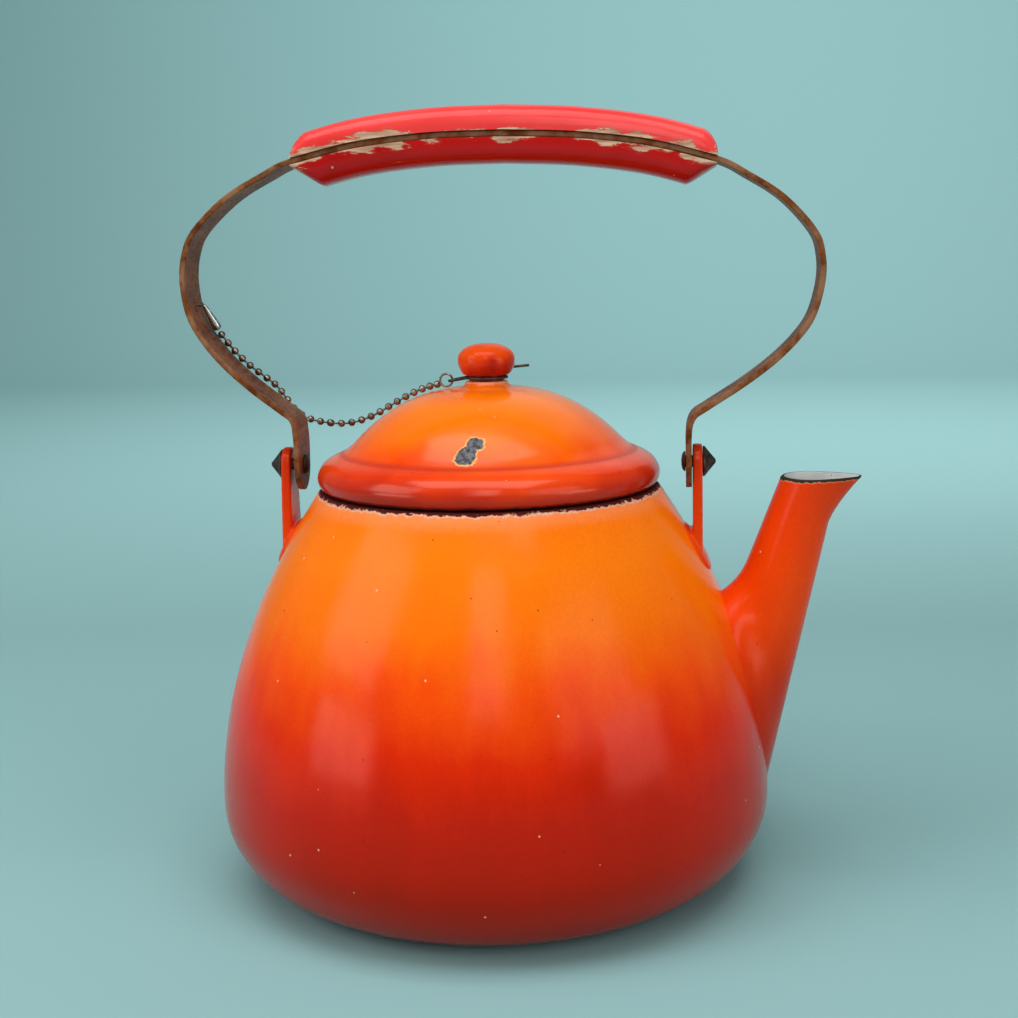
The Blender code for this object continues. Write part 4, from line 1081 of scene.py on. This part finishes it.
level = KNOB_Z + GROOVE_H / 2
tail = [(x, y, level + rise) for x, y, rise in WIRE_TAIL]
loop = []
for angle in np.radians(np.arange(140, 461, 10)):
    eye = math.exp(-(((angle - math.pi) / 0.25) ** 2))
    radius = WIRE_LOOP_R + WIRE_EYE * eye
    loop.append((radius * math.cos(angle), radius * math.sin(angle), level - WIRE_DROOP * eye))
knob_wire = wire("knob_wire", evenly(spline(tail + loop, 8), 240), WIRE_R, dark_steel)
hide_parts("chain_wire")
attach(knob_wire, "lid")
reach = WIRE_LOOP_R + WIRE_EYE + RING_R - WIRE_R - RING_WIRE_R - GAP
middle = level - WIRE_DROOP + GAP
turns = np.linspace(0, 2 * math.pi, 40, endpoint=False)
hoop = [(-reach + RING_R * math.cos(a), 0.0, middle + RING_R * math.sin(a)) for a in turns]
ring = wire("wire_ring", hoop, RING_WIRE_R, plated_steel, closed=True)
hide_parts("chain_ring")
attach(ring, "lid")

# The bead chain: steel balls on short links, tarnished to dark bronze. It lies on the bail's inner face,
# drops behind the rear leg, sags, and lies on the back of the dome up to the ring.
BALL_R, BALL_PITCH, LINK_R = 0.00135, 0.00375, 0.00042
CHAIN_BAIL_ROUTE = (
    (-0.0962, 0.0065, 0.1952),
    (-0.0923, 0.0068, 0.1900),
    (-0.0871, 0.0072, 0.1845),
    (-0.0814, 0.0084, 0.1797),
    (-0.0780, 0.0105, 0.1763),
    (-0.0753, 0.0120, 0.1722),
    (-0.0722, 0.0127, 0.1676),
    (-0.0684, 0.0127, 0.1646),
    (-0.0640, 0.0124, 0.1631),
    (-0.0590, 0.0119, 0.1624),
)
CHAIN_LID_ROUTE = (
    (-0.0587, 0.0119, 0.1623),
    (-0.0545, 0.0119, 0.1621),
    (-0.0500, 0.0118, 0.1626),
    (-0.0462, 0.0116, 0.1637),
    (-0.0420, 0.0111, 0.1654),
    (-0.0370, 0.0104, 0.1682),
    (-0.0315, 0.0093, 0.1713),
    (-0.0260, 0.0072, 0.1740),
    (-0.0215, 0.0047, 0.1757),
    (-0.0178, 0.0020, 0.1768),
)


def length_of(line):
    return float(np.linalg.norm(np.diff(line, axis=0), axis=1).sum())


def bead_tree():
    """Geometry Nodes for a bead chain: balls evenly along a curve, and a thin link through them."""
    tree = bpy.data.node_groups.new("bead_chain", "GeometryNodeTree")
    named = {}
    inputs = (
        ("Line", "Geometry"),
        ("Balls", "Int"),
        ("Ball radius", "Float"),
        ("Link radius", "Float"),
        ("Finish", "Material"),
    )
    for name, kind in inputs:
        socket = tree.interface.new_socket(name, in_out="INPUT", socket_type="NodeSocket" + kind)
        named[name] = socket.identifier
    tree.interface.new_socket("Chain", in_out="OUTPUT", socket_type="NodeSocketGeometry")
    kinds = {
        "start": "NodeGroupInput",
        "even": "GeometryNodeResampleCurve",
        "ball": "GeometryNodeMeshUVSphere",
        "string": "GeometryNodeInstanceOnPoints",
        "section": "GeometryNodeCurvePrimitiveCircle",
        "link": "GeometryNodeCurveToMesh",
        "both": "GeometryNodeJoinGeometry",
        "realise": "GeometryNodeRealizeInstances",
        "paint": "GeometryNodeSetMaterial",
        "end": "NodeGroupOutput",
    }
    n = {key: tree.nodes.new(kind) for key, kind in kinds.items()}
    n["ball"].inputs["Segments"].default_value = 16
    n["ball"].inputs["Rings"].default_value = 10
    n["section"].inputs["Resolution"].default_value = 6
    n["link"].inputs["Fill Caps"].default_value = True
    for a, out, b, into in (
        ("start", "Line", "even", "Curve"),
        ("start", "Balls", "even", "Count"),
        ("start", "Ball radius", "ball", "Radius"),
        ("start", "Link radius", "section", "Radius"),
        ("even", "Curve", "string", "Points"),
        ("ball", "Mesh", "string", "Instance"),
        ("start", "Line", "link", "Curve"),
        ("section", "Curve", "link", "Profile Curve"),
        ("string", "Instances", "both", "Geometry"),
        ("link", "Mesh", "both", "Geometry"),
        ("both", "Geometry", "realise", "Geometry"),
        ("realise", "Geometry", "paint", "Geometry"),
        ("start", "Finish", "paint", "Material"),
        ("paint", "Geometry", "end", "Chain"),
    ):
        tree.links.new(n[a].outputs[out], n[b].inputs[into])
    return tree, named


def add_chain(name, route, bodies, steady, node):
    """A length of chain that bends between two bodies. steady is the x where the bend starts and ends."""
    line = evenly(spline(route, 12), 120)
    guide = bpy.data.curves.new(name, "CURVE")
    guide.dimensions = "3D"
    run = guide.splines.new("POLY")
    run.points.add(len(line) - 1)
    for point, place in zip(run.points, line):
        point.co = (*place, 1.0)
    thread = bpy.data.objects.new(name + "_line", guide)
    bpy.context.scene.collection.objects.link(thread)
    tree, named = bead_tree()
    setting = thread.modifiers.new("beads", "NODES")
    setting.node_group = tree
    count = round(length_of(line) / BALL_PITCH) + 1
    setting[named["Balls"]] = count
    setting[named["Ball radius"]] = BALL_R
    setting[named["Link radius"]] = LINK_R
    setting[named["Finish"]] = chain_steel
    bpy.context.view_layer.update()
    graph = bpy.context.evaluated_depsgraph_get()
    strung = thread.evaluated_get(graph)
    mesh = bpy.data.meshes.new_from_object(strung, preserve_all_data_layers=True, depsgraph=graph)
    bpy.data.objects.remove(thread, do_unlink=True)
    mesh.name = name
    mesh.shade_smooth()
    chain = bpy.data.objects.new(name, mesh)
    bpy.context.scene.collection.objects.link(chain)
    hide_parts(node)
    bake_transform(chain, *bodies, tuple(line[0]), tuple(line[-1]))
    points = np.array([v.co for v in mesh.vertices])
    balls = evenly(line, count)
    nearest = np.linalg.norm(points[:, None] - balls[None], axis=2)
    on_ball = nearest.min(axis=1) < BALL_R * 1.01
    places = np.where(on_ball[:, None], balls[nearest.argmin(axis=1)], points)
    share = np.clip((places[:, 0] - steady[0]) / (steady[1] - steady[0]), 0, 1)
    eased = share * share * (3 - 2 * share)
    mesh.attributes["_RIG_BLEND"].data.foreach_set("value", eased.astype(np.float32))


chain_steel = dull_steel("tarnished_chain", (0.10, 0.065, 0.045), (0.42, 0.36, 0.30), 0.28, 1.0, 700.0)
add_chain("beads_on_bail", CHAIN_BAIL_ROUTE, ("bail", "kettle"), (-0.0745, -0.0590), "bead_chain_bail")
add_chain("beads_on_lid", CHAIN_LID_ROUTE, ("kettle", "lid"), (-0.0587, -0.0400), "bead_chain_lid")

# The hook: a bright, pointed steel end piece pressed on the chain, with a pin through the bail.
HOOK_TIP, HOOK_END = (-0.1012, 0.0030, 0.2062), (-0.0970, 0.0060, 0.1970)
HOOK_R, HOOK_PIN_R, HOOK_PIN = 0.0016, 0.0007, 0.0034
HOOK_SHAPE = (
    (0.0, 0.0),
    (0.30, 0.02),
    (0.50, 0.10),
    (0.66, 0.30),
    (0.88, 0.60),
    (1.0, 0.85),
    (0.8, 0.96),
    (0.0, 1.0),
)
bright_steel = dull_steel("bright_steel", (0.34, 0.32, 0.30), (0.75, 0.73, 0.70), 0.22, 1.0, 500.0)
start, end = Vector(HOOK_TIP), Vector(HOOK_END)
shape = spline(HOOK_SHAPE, 4)
turn = Matrix.Translation(start) @ (end - start).to_track_quat("Z", "Y").to_matrix().to_4x4()
profile = [(max(0.0, HOOK_R * r), (end - start).length * z) for r, z in shape]
outline = [profile[0]] + [point for point in profile[1:-1] if point[0] > 1e-5] + [profile[-1]]
hook = add_piece("polished_hook", lathe(outline, 32, turn=turn), bright_steel)
pin = rod(HOOK_PIN_R, HOOK_TIP, start - Vector((HOOK_PIN, 0, 0)), 16)
cut(hook, add_piece("hook_pin_tool", pin, bright_steel), "UNION")
crease(hook, 50)
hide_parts("chain_hook")
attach(hook, "bail")
